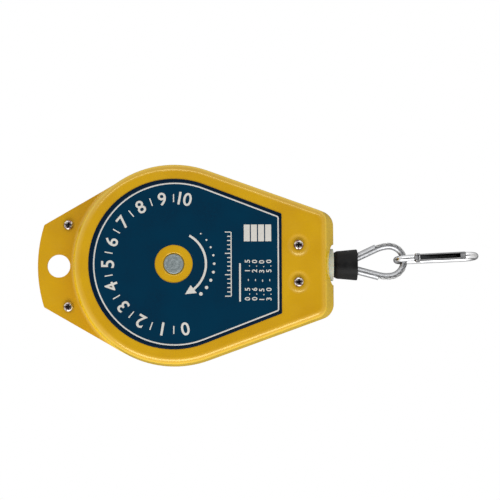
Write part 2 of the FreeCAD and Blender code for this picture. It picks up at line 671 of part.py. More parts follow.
def ring_part(y, start_deg, end_deg):
    """Part of a rope turn on the drum."""
    start = polar(PITCH_R, start_deg, y)
    middle = polar(PITCH_R, (start_deg + end_deg) / 2, y)
    path = arc(start, middle, polar(PITCH_R, end_deg, y))
    tangent = V(-math.sin(math.radians(start_deg)), 0, math.cos(math.radians(start_deg)))
    return pipe([path], ROPE_R, start, tangent)


def rope_winding():
    """Turns of rope in the drum's grooves with the load end fully up."""
    positions = groove_positions()
    anchor_half = math.degrees((ANCHOR_LENGTH / 2 + FACE_GAP) / PITCH_R)
    turns = [ring_part(positions[0], 90 + anchor_half, 450 - anchor_half)]
    for y in positions[1:-1]:
        turns.append(Part.makeTorus(PITCH_R, ROPE_R, V(0, y, SHAFT_Z), Y_AXIS))
    turns.append(ring_part(positions[-1], LAST_TURN_START_DEG, rope_leaves_at()))
    return Part.makeCompound(turns)


def rope_anchor():
    """Crimped stop on the rope's inner end, in its pocket beside the front flange."""
    anchor_y = groove_positions()[0]
    z = SHAFT_Z + PITCH_R
    half = ANCHOR_LENGTH / 2
    stop = rod(ANCHOR_R, V(-half, anchor_y, z), V(half, anchor_y, z))
    return stop.makeFillet(ANCHOR_EDGE_R, stop.Edges)


# ---- Rope guide and rope -------------------------------------------------------------------------
def rope_guide():
    """Moulded guide: bell mouth, bore and collar, held by two cross posts on the lower screws."""
    toe = GUIDE_TOE_Z
    seat = toe + GUIDE_COLLAR_H
    top = seat + GUIDE_BODY_H
    collar = rod(GUIDE_COLLAR_R, V(0, 0, toe), V(0, 0, seat))
    collar = collar.makeFillet(GUIDE_TOE_R, [e for e in collar.Edges if all(abs(v.Z - toe) < 1e-4 for v in e.Vertexes)])
    guide = rod(GUIDE_BODY_R, V(0, 0, seat), V(0, 0, top)).fuse(collar)
    screw_z = SHAFT_Z - GUIDE_SCREW_DROP
    post_end = DIMPLE_SEAT - SHEET
    for x_sign in (-1, 1):
        x = x_sign * GUIDE_SCREW_X
        post = rod(GUIDE_POST_R, V(x, -post_end, screw_z), V(x, post_end, screw_z))
        rib = block(x - GUIDE_RIB_W / 2, x + GUIDE_RIB_W / 2, -GUIDE_RIB_T / 2, GUIDE_RIB_T / 2,
                    top - GUIDE_RIB_DROP, screw_z)
        guide = guide.fuse([post, rib])
    throat_z = top - GUIDE_BELL_R
    outer_r = GUIDE_BORE_R + GUIDE_BELL_R
    half = math.sqrt(0.5) * GUIDE_BELL_R
    bell_edges = [
        line(V(0, 0, throat_z), V(GUIDE_BORE_R, 0, throat_z)),
        arc(V(GUIDE_BORE_R, 0, throat_z), V(outer_r - half, 0, throat_z + half), V(outer_r, 0, top)),
        line(V(outer_r, 0, top), V(0, 0, top)),
        line(V(0, 0, top), V(0, 0, throat_z)),
    ]
    bell = Part.Face(Part.Wire(bell_edges)).revolve(V(0, 0, 0), Z_AXIS, 360)
    bore = rod(GUIDE_BORE_R, V(0, 0, toe), V(0, 0, top))
    flare = Part.makeCone(GUIDE_BORE_R + GUIDE_FLARE, GUIDE_BORE_R, GUIDE_FLARE, V(0, 0, toe), Z_AXIS)
    cuts = [bell, bore, flare]
    for x_sign in (-1, 1):
        x = x_sign * GUIDE_SCREW_X
        cuts.append(rod(SCREW_R + SCREW_CLEARANCE / 2, V(x, -post_end, screw_z), V(x, post_end, screw_z)))
    return guide.cut(cuts).removeSplitter()


def rope_lead():
    """Rope from the last turn on the drum, through the bell mouth, to the guide's bore."""
    leave = polar(PITCH_R, rope_leaves_at(), groove_positions()[-1])
    bend = V(0, 0, GUIDE_TOE_Z + BEND_RISE)
    end = V(0, 0, GUIDE_TOE_Z + LEAD_END_RISE)
    run = bend - leave
    start = leave + run.normalize() * LEAD_START_GAP
    half_turn = (bend - start).getAngle(end - bend) / 2
    radius = BEND_SHARE * (end - bend).Length / math.tan(half_turn)
    arc_start, arc_middle, arc_end = rounded_corner(start, bend, end, radius)
    edges = [line(start, arc_start), arc(arc_start, arc_middle, arc_end), line(arc_end, end)]
    print("rope lead: %.1f mm long, bend radius %.1f" % (sum(e.Length for e in edges), radius))
    return pipe(edges, ROPE_R, start, bend - start)


def rope_drop():
    """Rope from the guide's bore into the ferrule; this is the part that lengthens."""
    top = V(0, 0, GUIDE_TOE_Z + LEAD_END_RISE)
    return rod(ROPE_R, top, V(0, 0, FERRULE_TOP_Z - FERRULE_SOCKET))


# ---- Load end ------------------------------------------------------------------------------------
def bumper():
    """Rubber cup over the ferrule; it meets the guide's collar when the rope is fully in."""
    top = BUMPER_TOP_Z
    shoulder = top - BUMPER_SHOULDER_H
    mouth = top - BUMPER_H
    bulge = V((BUMPER_TOP_R + BUMPER_SHOULDER_R) / 2 + BUMPER_BULGE, 0, (top + shoulder) / 2 + BUMPER_BULGE_RISE)
    edges = [
        line(V(0, 0, top), V(BUMPER_TOP_R, 0, top)),
        arc(V(BUMPER_TOP_R, 0, top), bulge, V(BUMPER_SHOULDER_R, 0, shoulder)),
        line(V(BUMPER_SHOULDER_R, 0, shoulder), V(BUMPER_MOUTH_R, 0, mouth)),
        line(V(BUMPER_MOUTH_R, 0, mouth), V(0, 0, mouth)),
        line(V(0, 0, mouth), V(0, 0, top)),
    ]
    body = Part.Face(Part.Wire(edges)).revolve(V(0, 0, 0), Z_AXIS, 360)
    lip = [e for e in body.Edges if e.Curve.TypeId == "Part::GeomCircle"
           and all(abs(v.Z - mouth) < 1e-4 for v in e.Vertexes)]
    body = body.makeFillet(BUMPER_LIP_R, lip)
    cup = rod(BUMPER_CUP_R, V(0, 0, mouth), V(0, 0, top - BUMPER_ROOF))
    hole = rod(ROPE_R + ROPE_FIT, V(0, 0, mouth), V(0, 0, top))
    return body.cut([cup, hole])


def loop_edges(grow):
    """Rope centre of the eye, from ferrule to ferrule, moved out by grow; straight legs and three arcs."""
    lean = math.radians(LEG_DEG)
    outward = V(math.cos(lean), 0, math.sin(lean)) * grow
    down = V(math.sin(lean), 0, -math.cos(lean))
    start = V(LEG_END_X, 0, FERRULE_END_Z) - down * LEG_SOCKET + outward
    leg_end = start + down * LEG_LENGTH
    swell = SWELL_R + grow
    swell_centre = leg_end - V(math.cos(lean), 0, math.sin(lean)) * swell
    side = swell_centre + X_AXIS * swell
    half = lean / 2
    swell_middle = swell_centre + V(math.cos(half), 0, math.sin(half)) * swell
    crown = V(0, 0, side.z - side.x)
    return [
        line(start, leg_end),
        arc(leg_end, swell_middle, side),
        arc(side, crown, mirrored(side)),
        arc(mirrored(side), mirrored(swell_middle), mirrored(leg_end)),
        line(mirrored(leg_end), mirrored(start)),
    ], start, down


def crown_centre():
    """Rope centre at the lowest point of the eye, before the eye's tilt."""
    edges = loop_edges(0)[0]
    side = edges[2].Vertexes[0].Point
    return V(0, 0, side.z - side.x)


def tilt_eye(shape):
    tilted = shape.copy()
    tilted.rotate(V(0, 0, FERRULE_END_Z), Y_AXIS, EYE_TILT_DEG)
    return tilted


def eye_rope():
    edges, start, down = loop_edges(0)
    print("eye rope: %.1f mm long" % sum(e.Length for e in edges))
    return tilt_eye(pipe(edges, ROPE_R, start, down))


def thimble():
    """Rolled thimble: a closed sleeve on the legs, an open channel inside the rope round the crown."""
    edges, start, down = loop_edges(0)
    sleeve = pipe(edges, THIMBLE_R, start, down)
    inner_edges = loop_edges(THIMBLE_LIP)[0]
    first = inner_edges[0].Vertexes[0].Point
    closing = line(mirrored(first), first)
    region = Part.Face(Part.Wire(inner_edges + [closing]))
    depth = THIMBLE_R + 1
    region.translate(V(0, -depth, 0))
    inside = region.extrude(V(0, 2 * depth, 0))
    wide = 2 * CROWN_R
    step_z = FERRULE_END_Z - THIMBLE_STEP
    start_z = FERRULE_END_Z - THIMBLE_START
    above = block(-wide, wide, -depth, depth, step_z, start_z)
    below = block(-wide, wide, -depth, depth, crown_centre().z - wide, step_z)
    rolled = sleeve.common(above.fuse(inside.common(below))).cut(pipe(edges, ROPE_R, start, down))
    return tilt_eye(rolled.removeSplitter())


def crimp_ferrule():
    """Swaged ferrule: the rope enters on top and the eye's two legs below."""
    straight = FERRULE_HALF_X - FERRULE_HALF_Y
    low = V(0, 0, FERRULE_END_Z)
    core = block(-straight, straight, -FERRULE_HALF_Y, FERRULE_HALF_Y, FERRULE_END_Z, FERRULE_TOP_Z)
    ends = [rod(FERRULE_HALF_Y, low + X_AXIS * straight * s, low + X_AXIS * straight * s + Z_AXIS * FERRULE_H)
            for s in (-1, 1)]
    body = core.fuse(ends).removeSplitter()
    rims = [e for e in body.Edges if abs(e.Vertexes[0].Z - e.Vertexes[-1].Z) < 1e-4]
    body = body.makeFillet(FERRULE_EDGE_R, rims)
    top_socket = rod(ROPE_R + RUNNING, V(0, 0, FERRULE_TOP_Z - FERRULE_SOCKET), V(0, 0, FERRULE_TOP_Z))
    edges, start, down = loop_edges(0)
    legs = tilt_eye(pipe(edges, ROPE_R, start, down))
    return body.cut([top_socket, legs])


# ---- Snap hook -----------------------------------------------------------------------------------
def bow_centres():
    """Centres of the top bow and the nose bow, in the hook's own upright position."""
    seat = crown_centre()
    top = V(0, 0, seat.z + THIMBLE_R + HOOK_SEAT_GAP + WIRE_R - TOP_BOW_R)
    nose = V(0, 0, top.z + TOP_BOW_R + WIRE_R - HOOK_LENGTH + WIRE_R + NOSE_BOW_R)
    return top, nose


def gate_frame():
    """Outward normal of the gate side, direction down along it, and the gate's pivot."""
    top, nose = bow_centres()
    lean = math.asin((NOSE_BOW_R - TOP_BOW_R) / (top.z - nose.z))
    out = V(0, -math.cos(lean), math.sin(lean))
    down = V(0, -math.sin(lean), -math.cos(lean))
    pivot = top + out * TOP_BOW_R + down * PIVOT_DOWN
    return out, down, pivot


def gate_length():
    """Pivot to the nose end of the gate; the nose begins where the side meets the nose bow."""
    out, down, pivot = gate_frame()
    nose = bow_centres()[1]
    return (nose + out * NOSE_BOW_R - pivot).dot(down) - GATE_TIP_GAP


def place_hook(shape):
    """Hang the upright hook on the tilted eye, with the hook's own slight twist and lean."""
    placed = shape.copy()
    top = bow_centres()[0]
    eye_turn = FreeCAD.Rotation(Y_AXIS, EYE_TILT_DEG)
    pivot = V(0, 0, FERRULE_END_Z)
    hung = pivot + eye_turn.multVec(top - pivot)
    placed.rotate(top, Z_AXIS, HOOK_TWIST_DEG)
    placed.rotate(top, Y_AXIS, HOOK_TILT_DEG)
    placed.translate(hung - top)
    return placed


def gate_block(out_low, out_high, down_low, down_high, half_x):
    """Block in the gate's own directions, about the pivot."""
    out, down, pivot = gate_frame()
    base = pivot - X_AXIS * half_x
    points = [base + out * out_low + down * down_low, base + out * out_high + down * down_low,
              base + out * out_high + down * down_high, base + out * out_low + down * down_high]
    return prism(points, X_AXIS * 2 * half_x)


def hook_body():
    """Bent wire body with a flat tongue at the gate pivot and another at the nose."""
    top, nose = bow_centres()
    out, down, pivot = gate_frame()
    back = V(0, -out.y, out.z)
    gap = GATE_TIP_GAP
    stub_end = pivot - down * (WIRE_R + gap)
    nose_end = gate_length() + gap
    edges = [
        line(stub_end, top + out * TOP_BOW_R),
        arc(top + out * TOP_BOW_R, top + Z_AXIS * TOP_BOW_R, top + back * TOP_BOW_R),
        line(top + back * TOP_BOW_R, nose + back * NOSE_BOW_R),
        arc(nose + back * NOSE_BOW_R, nose - Z_AXIS * NOSE_BOW_R, nose + out * NOSE_BOW_R),
    ]
    wire = pipe(edges, WIRE_R, stub_end, -down)
    tongue_in = -WIRE_R + GATE_SHEET + TONGUE_BACK_GAP
    lug = gate_block(tongue_in, TONGUE_FRONT, -WIRE_R - gap - TONGUE_ROOT, 0, TONGUE_HALF_T)
    knuckle = rod(KNUCKLE_R, pivot - X_AXIS * TONGUE_HALF_T, pivot + X_AXIS * TONGUE_HALF_T)
    catch = gate_block(
        tongue_in, TONGUE_FRONT, nose_end - TONGUE_LENGTH, nose_end + TONGUE_ROOT, TONGUE_HALF_T)
    body = wire.fuse([lug, knuckle, catch])
    pin_hole = rod(PIVOT_R, pivot - X_AXIS * WIRE_R, pivot + X_AXIS * WIRE_R)
    return place_hook(body.cut(pin_hole).removeSplitter())


def hook_gate():
    """Pressed channel gate, open to the outside, pinned at its upper end."""
    out, down, pivot = gate_frame()
    length = gate_length()
    bar = gate_block(-WIRE_R, GATE_DEPTH, 0, length, GATE_HALF_W)
    back_edges = [e for e in bar.Edges if abs(e.Length - length) < 1e-4
                  and all((v.Point - pivot).dot(out) < 0 for v in e.Vertexes)]
    bar = bar.makeFillet(GATE_BACK_R, back_edges)
    cheek = rod(CHEEK_R, pivot - X_AXIS * GATE_HALF_W, pivot + X_AXIS * GATE_HALF_W)
    slot_half = GATE_HALF_W - GATE_SHEET
    slot = gate_block(-WIRE_R + GATE_SHEET, WIRE_R * 2, -WIRE_R * 2, length + 1, slot_half)
    web_relief = gate_block(-WIRE_R * 2, 0, -WIRE_R * 2, WIRE_R * 0.8, slot_half)
    pin_hole = rod(PIVOT_R + PIVOT_FIT, pivot - X_AXIS * GATE_HALF_W * 2, pivot + X_AXIS * GATE_HALF_W * 2)
    return place_hook(bar.fuse(cheek).cut([slot, web_relief, pin_hole]).removeSplitter())


def gate_rivet():
    """Pin of the gate, headed on both sides."""
    pivot = gate_frame()[2]
    inner = GATE_HALF_W + PIVOT_FIT
    outer = inner + PIVOT_HEAD_T
    pin = rod(PIVOT_R, pivot - X_AXIS * outer, pivot + X_AXIS * outer)
    heads = [rod(PIVOT_HEAD_R, pivot + X_AXIS * inner * s, pivot + X_AXIS * outer * s) for s in (-1, 1)]
    return place_hook(pin.fuse(heads).removeSplitter())


def gate_spring():
    """Bent strip between the lug and the gate's back; it closes the gate."""
    out, down, pivot = gate_frame()
    half = TONGUE_HALF_T
    back = -WIRE_R + GATE_SHEET
    route = [(GATE_SPRING_OUT, GATE_SPRING_TOP), (back, GATE_SPRING_TOUCH), (back, GATE_SPRING_END)]
    thick = GATE_SPRING_T
    base = pivot - X_AXIS * half
    near = [base + out * (a + thick) + down * b for a, b in route]
    far = [base + out * a + down * b for a, b in route]
    return place_hook(prism(near + far[::-1], X_AXIS * 2 * half))


# ---- Assembly ------------------------------------------------------------------------------------
def side_name(x_sign):
    return "left" if x_sign < 0 else "right"


def all_parts():
    parts = {
        "front_shell": shell(FRONT, SHAFT_FRONT_R),
        "rear_shell": shell(REAR, SHAFT_REAR_R),
        "label_plate": label_plate(),
        "rope_guide": rope_guide(),
        "leaf_pawl": leaf_pawl(),
        "pawl_rivets": pawl_rivets(),
        "main_shaft": main_shaft(),
        "ratchet_wheel": ratchet_wheel(),
        "retaining_clip": retaining_clip(),
        "drum": drum(),
        "front_drum_bush": drum_bush(FRONT),
        "rear_drum_bush": drum_bush(REAR),
        "spring_cover": spring_cover(),
        "cover_screws": cover_screws(),
        "mainspring": mainspring(),
        "rope_winding": rope_winding(),
        "rope_anchor": rope_anchor(),
        "rope_lead": rope_lead(),
        "rope_drop": rope_drop(),
        "bumper": bumper(),
        "crimp_ferrule": crimp_ferrule(),
        "eye_rope": eye_rope(),
        "thimble": thimble(),
        "hook_body": hook_body(),
        "hook_gate": hook_gate(),
        "gate_rivet": gate_rivet(),
        "gate_spring": gate_spring(),
    }
    tab_z = SHAFT_Z + TAB_SCREW_RISE
    guide_z = SHAFT_Z - GUIDE_SCREW_DROP
    for x_sign in (-1, 1):
        name = side_name(x_sign)
        tab_seat = V(x_sign * TAB_SCREW_X, -SHEET, tab_z)
        tab_nut = V(x_sign * TAB_SCREW_X, SHEET, tab_z)
        parts["tab_screw_" + name] = pan_head_screw(tab_seat, 2 * SHEET + NUT_H + THREAD_SHOW)
        parts["tab_nut_" + name] = nut(tab_nut)
        guide_seat = V(x_sign * GUIDE_SCREW_X, -DIMPLE_SEAT, guide_z)
        guide_nut = V(x_sign * GUIDE_SCREW_X, DIMPLE_SEAT, guide_z)
        parts["guide_screw_" + name] = pan_head_screw(guide_seat, 2 * DIMPLE_SEAT + NUT_H + THREAD_SHOW)
        parts["guide_nut_" + name] = nut(guide_nut)
    return parts


def main():
    os.makedirs("parts", exist_ok=True)
    for name, shape in all_parts().items():
        shape.exportStep("parts/" + name + ".step")
        box = shape.BoundBox
        print("%-18s %s solids=%d volume=%.1f x %.1f..%.1f y %.1f..%.1f z %.1f..%.1f" % (
            name, "valid" if shape.isValid() else "INVALID", len(shape.Solids), shape.Volume,
            box.XMin, box.XMax, box.YMin, box.YMax, box.ZMin, box.ZMax))


main()
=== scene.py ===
# Spring balancer for light hand tools: finishes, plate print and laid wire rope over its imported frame.
# The frame's own sizes place everything: metres, +Z up as the balancer hangs, the plate faces -Y.
import math

import bmesh
import bpy
from mathutils import Matrix, Vector


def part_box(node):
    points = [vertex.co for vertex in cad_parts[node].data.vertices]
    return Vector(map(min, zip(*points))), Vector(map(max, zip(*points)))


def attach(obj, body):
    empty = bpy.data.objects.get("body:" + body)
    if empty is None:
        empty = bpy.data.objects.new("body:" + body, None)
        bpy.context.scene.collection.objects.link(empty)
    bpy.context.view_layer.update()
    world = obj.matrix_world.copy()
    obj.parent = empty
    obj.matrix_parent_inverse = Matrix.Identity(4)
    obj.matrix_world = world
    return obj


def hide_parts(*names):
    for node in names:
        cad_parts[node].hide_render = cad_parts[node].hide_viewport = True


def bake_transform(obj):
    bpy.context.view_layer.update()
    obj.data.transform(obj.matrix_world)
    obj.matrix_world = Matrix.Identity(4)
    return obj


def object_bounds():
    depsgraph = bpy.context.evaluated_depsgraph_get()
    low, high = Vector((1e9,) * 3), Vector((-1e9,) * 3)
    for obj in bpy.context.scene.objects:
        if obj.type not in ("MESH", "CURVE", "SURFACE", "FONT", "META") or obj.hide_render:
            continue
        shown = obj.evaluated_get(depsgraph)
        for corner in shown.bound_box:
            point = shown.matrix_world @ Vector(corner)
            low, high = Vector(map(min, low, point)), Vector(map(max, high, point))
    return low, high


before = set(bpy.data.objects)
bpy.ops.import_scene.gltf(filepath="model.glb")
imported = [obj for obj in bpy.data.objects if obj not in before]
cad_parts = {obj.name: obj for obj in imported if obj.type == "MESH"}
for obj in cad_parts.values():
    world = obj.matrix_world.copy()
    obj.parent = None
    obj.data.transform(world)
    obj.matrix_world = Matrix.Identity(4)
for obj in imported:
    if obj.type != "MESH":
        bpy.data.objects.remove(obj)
CAD_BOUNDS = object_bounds()

bl_info = {
    "name": "Spring balancer",
    "version": (1, 0, 0),
    "blender": (4, 5, 0),
    "location": "View3D > Sidebar > Balancer",
    "description": "Dresses a spring balancer: enamel, plate print, wire rope, snap hook and studio",
    "category": "Object",
}

MM = 0.001
PLATE_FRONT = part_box("label_plate")[0].y
SHAFT_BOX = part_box("main_shaft")
SHAFT_Z = (SHAFT_BOX[0].z + SHAFT_BOX[1].z) / 2
WINDING_R = 50.0 * MM
GROOVE_PITCH = 5.4 * MM
# How many wires show across one lay of a strand.
WIRES_SEEN = 4
# Turns flat work drawn in X and Y to stand on the plate, seen from the front, with X to the right and Z up.
ON_PLATE = Matrix.Translation((0, PLATE_FRONT, SHAFT_Z)) @ Matrix.Rotation(math.pi / 2, 4, "X")


def colour(hex_value):
    """An sRGB hex value as a linear colour."""
    parts = [int(hex_value[i:i + 2], 16) / 255 for i in (1, 3, 5)]
    return tuple(c / 12.92 if c <= 0.04045 else ((c + 0.055) / 1.055) ** 2.4 for c in parts)


def add_node(tree, kind, inputs=None, **settings):
    """Adds a node with its settings, and fills or links its inputs, which go by name or number.

    A node given for an input stands for its first output.
    """
    node = tree.nodes.new(kind)
    for name, value in settings.items():
        setattr(node, name, value)
    for key, value in (inputs or {}).items():
        socket = node.inputs[key]
        if isinstance(value, bpy.types.Node):
            value = value.outputs[0]
        if isinstance(value, bpy.types.NodeSocket):
            tree.links.new(value, socket)
        elif socket.type == "RGBA" and len(value) == 3:
            socket.default_value = (*value, 1.0)
        else:
            socket.default_value = value
    return node


def feature(size_mm):
    """Texture scale at which a feature is this many millimetres across."""
    return 1000.0 / size_mm


def polar(radius, angle):
    """The place at this radius and angle."""
    return radius * math.cos(angle), radius * math.sin(angle)


# ---- Sizes and colours that a user would change ---------------------------------------------------
def colour_prop(name, description, hex_value):
    return bpy.props.FloatVectorProperty(
        name=name, description=description, subtype="COLOR", size=3, min=0, max=1,
        default=colour(hex_value))


def length_prop(name, description, millimetres):
    return bpy.props.FloatProperty(
        name=name, description=description, unit="LENGTH", subtype="DISTANCE", min=0,
        default=millimetres * MM)


def angle_prop(name, description, degrees):
    return bpy.props.FloatProperty(
        name=name, description=description, unit="ROTATION", subtype="ANGLE", default=math.radians(degrees))


class BalancerFinish(bpy.types.PropertyGroup):
    enamel: colour_prop("Enamel", "Stove enamel of both shells", "#D8A603")
    enamel_thin: colour_prop("Thin enamel", "Enamel where it runs thin", "#CF9B02")
    # Seen edge on, the walls take this colour: the film's richer hue, and lighter as painted light.
    enamel_edge: colour_prop("Enamel edge on", "Enamel seen at a low angle", "#FBCE08")
    zinc: colour_prop("Zinc", "Bright zinc plate on screws and nuts", "#D6D3CD")
    zinc_tint: colour_prop("Passivation", "Brown and violet tint of the passivated zinc", "#6E4650")
    shaft: colour_prop("Shaft", "Turned steel of the shaft", "#B4BEBF")
    nickel: colour_prop("Nickel", "Nickel plate of the snap hook", "#E6E6E6")
    guide: colour_prop("Rope guide", "Moulded acetal of the rope guide", "#CDD1C2")
    rubber: colour_prop("Bumper", "Black rubber of the bumper", "#0A0B0C")


class BalancerPrint(bpy.types.PropertyGroup):
    ground: colour_prop("Ground", "Blue ink that covers the plate", "#003049")
    margin: colour_prop("Margin", "Darker ink along the plate's edge", "#051B30")
    ink: colour_prop("Ink", "Off-white ink of the marks", "#D8D5CE")
    lift: length_prop("Ink lift", "Height of the screen-printed ink, shown thicker than it is", 0.04)
    margin_width: length_prop("Margin width", "Dark margin along the edge", 2.5)
    line_inset: length_prop("Line inset", "Edge of the plate to the middle of the border line", 3.1)
    line_width: length_prop("Line width", "Width of the border line", 1.0)
    print_drop: length_prop("Print drop", "How far below the plate's middle the border is printed", 0.7)
    scale_radius: length_prop("Scale radius", "Middle of the scale's marks, about the shaft", 46.2)
    numeral_height: length_prop("Numeral height", "Height of the scale's numerals", 9.2)
    numerals: bpy.props.IntProperty(name="Numerals", description="Numerals on the scale", min=2, default=11)
    sweep: angle_prop("Sweep", "Angle that the scale covers", 200)
    tick_length: length_prop("Tick length", "Length of the scale's ticks", 5.6)
    tick_width: length_prop("Tick width", "Width of the scale's ticks", 0.8)
    arrow_radius: length_prop("Arrow radius", "Middle of the curved arrow, about the shaft", 22.6)
    arrow_width: length_prop("Arrow width", "Stroke of the curved arrow", 1.6)
    arrow_head: length_prop("Arrow head", "Length and width of the arrow's head", 7.0)
    arrow_start: angle_prop("Arrow start", "Angle from +X at which the arrow starts", -29)
    arrow_end: angle_prop("Arrow end", "Angle from +X of the arrow's tip", -159.5)


class BalancerRope(bpy.types.PropertyGroup):
    strands: bpy.props.IntProperty(name="Strands", description="Strands round the core", min=3, default=6)
    wires: bpy.props.IntProperty(name="Wires", description="Wires that show in a strand", min=3, default=6)
    radius: length_prop("Rope radius", "Outside of the rope", 2.0)
    strand_lay: length_prop("Rope lay", "Length in which a strand goes once round the rope", 24.0)
    wire_lay: length_prop("Strand lay", "Length in which a wire goes once round its strand", 9.0)
    step: length_prop("Step", "Spacing of the rope's sections", 0.55)
    steel: colour_prop("Rope wire", "Galvanised wire of the rope", "#BDBEBF")


class BalancerStage(bpy.types.PropertyGroup):
    focal_length: bpy.props.FloatProperty(
        name="Focal length", description="Lens of the camera", unit="CAMERA", min=1, default=121.0)
    fill: bpy.props.FloatProperty(
        name="Fill", description="Even light, at its weakest in front of the plate", min=0, default=0.345)
    low_lamp: bpy.props.FloatProperty(
        name="Stronger lamp", description="Soft box on the -X side", subtype="POWER", min=0, default=10.5)
    high_lamp: bpy.props.FloatProperty(
        name="Weaker lamp", description="Soft box on the +X side", subtype="POWER", min=0, default=2.8)
    floor_drop: length_prop("Floor", "Depth of the floor, below the rope's full reach", 1420)


# ---- Making and placing pieces --------------------------------------------------------------------
def mesh_piece(name, mesh, place=Matrix.Identity(4)):
    """A piece whose object sits at the origin, with its place in its mesh."""
    mesh.name = name
    mesh.transform(place)
    piece = bpy.data.objects.new(name, mesh)
    bpy.context.scene.collection.objects.link(piece)
    return piece


def plain_mesh(source):
    """What a curve, a text or an object with Geometry Nodes comes to, as a plain mesh; the source goes."""
    bpy.context.view_layer.update()
    evaluated = source.evaluated_get(bpy.context.evaluated_depsgraph_get())
    mesh = bpy.data.meshes.new_from_object(evaluated)
    data = source.data
    bpy.data.objects.remove(source)
    if isinstance(data, bpy.types.Curve):
        bpy.data.curves.remove(data)
    else:
        bpy.data.meshes.remove(data)
    return mesh


def nodes_mesh(data, tree, values):
    """The plain mesh that a Geometry Nodes tree makes from this curve or mesh with these values."""
    source = bpy.data.objects.new("source", data)
    bpy.context.scene.collection.objects.link(source)
    modifier = source.modifiers.new("build", "NODES")
    modifier.node_group = tree
    for item in tree.interface.items_tree:
        if item.item_type == "SOCKET" and item.in_out == "INPUT" and item.name in values:
            modifier[item.identifier] = values[item.name]
    return plain_mesh(source)


def start_tree(name, sockets):
    """An empty Geometry Nodes tree with these named inputs. Gives the tree and its input node."""
    tree = bpy.data.node_groups.new(name, "GeometryNodeTree")
    tree.interface.new_socket("Geometry", in_out="INPUT", socket_type="NodeSocketGeometry")
    for socket_name, kind in sockets:
        tree.interface.new_socket(socket_name, in_out="INPUT", socket_type=f"NodeSocket{kind}")
    tree.interface.new_socket("Geometry", in_out="OUTPUT", socket_type="NodeSocketGeometry")
    return tree, tree.nodes.new("NodeGroupInput")


def end_tree(tree, geometry, material):
    """Ends a tree in real faces with their material."""
    real = add_node(tree, "GeometryNodeRealizeInstances", {0: geometry})
    painted = add_node(tree, "GeometryNodeSetMaterial", {"Geometry": real, "Material": material})
    add_node(tree, "NodeGroupOutput", {0: painted})
    return tree


def outward_mesh(name, made):
    """The mesh of a bmesh, its faces turned outwards; the bmesh goes."""
    bmesh.ops.recalc_face_normals(made, faces=made.faces)
    mesh = bpy.data.meshes.new(name)
    made.to_mesh(mesh)
    made.free()
    return mesh


def polygon_curve(name, points):
    """A flat closed curve through these points, in metres."""
    curve = bpy.data.curves.new(name, "CURVE")
    curve.dimensions = "2D"
    spline = curve.splines.new("POLY")
    spline.points.add(len(points) - 1)
    for point, (x, y) in zip(spline.points, points):
        point.co = (x, y, 0, 1)
    spline.use_cyclic_u = True
    return curve


def dress(names, material):
    """Gives frame nodes a better finish through their own material slots."""
    for name in names:
        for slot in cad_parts[name].material_slots:
            slot.link = "OBJECT"
            slot.material = material


def finish_piece(piece, body):
    """Sets the body that a piece moves with."""
    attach(piece, body)
    return piece


# ---- Finishes -------------------------------------------------------------------------------------
def start_material(name, **sockets):
    """A material on the principled shader, with values for its sockets by name and the place on the piece."""
    material = bpy.data.materials.get(name)
    if material:
        bpy.data.materials.remove(material)
    material = bpy.data.materials.new(name)
    material.use_nodes = True
    tree = material.node_tree
    shader = tree.nodes["Principled BSDF"]
    for socket_name, value in sockets.items():
        socket = shader.inputs[socket_name.replace("_", " ")]
        socket.default_value = (*value, 1.0) if socket.type == "RGBA" else value
    place = add_node(tree, "ShaderNodeTexCoord").outputs["Object"]
    return material, tree, shader, place


def patches(tree, place, size_mm, first, second, low=0.35, high=0.65, detail=3.0):
    """Colour that drifts from the first to the second in patches of this size."""
    cloud = add_node(tree, "ShaderNodeTexNoise", {
        "Vector": place, "Scale": feature(size_mm), "Detail": detail, "Roughness": 0.6})
    amount = add_node(tree, "ShaderNodeMapRange", {"Value": cloud, "From Min": low, "From Max": high})
    mixed = add_node(tree, "ShaderNodeMix", {"Factor": amount, 6: first, 7: second}, data_type="RGBA")
    return mixed.outputs[2]


def uneven_gloss(tree, shader, place, size_mm, smooth, rough):
    """Roughness that wanders between two values over this distance."""
    cloud = add_node(tree, "ShaderNodeTexNoise", {"Vector": place, "Scale": feature(size_mm), "Detail": 3.0})
    gloss = add_node(tree, "ShaderNodeMapRange", {
        "Value": cloud, "From Min": 0.3, "From Max": 0.7, "To Min": smooth, "To Max": rough})
    tree.links.new(gloss.outputs[0], shader.inputs["Roughness"])


def grain(tree, shader, place, size_mm, depth_mm, strength, detail=3.0):
    """Relief of this size and depth: the peel of enamel, the grain of a casting, the lines of a die."""
    cloud = add_node(tree, "ShaderNodeTexNoise", {
        "Vector": place, "Scale": feature(size_mm), "Detail": detail, "Roughness": 0.6})
    bump = add_node(tree, "ShaderNodeBump", {
        "Height": cloud, "Distance": depth_mm * MM, "Strength": strength})
    tree.links.new(bump.outputs[0], shader.inputs["Normal"])


def grime(tree, surface, shade_colour, reach_mm, low=0.25, high=0.85):
    """The surface's colour, darkened by painted shade in recesses narrower than the reach."""
    open_sky = add_node(tree, "ShaderNodeAmbientOcclusion", {"Distance": reach_mm * MM}, samples=8)
    amount = add_node(tree, "ShaderNodeMapRange", {
        "Value": open_sky.outputs["AO"], "From Min": low, "From Max": high})
    return add_node(tree, "ShaderNodeMix", {
        "Factor": amount, 6: shade_colour, 7: surface}, data_type="RGBA").outputs[2]


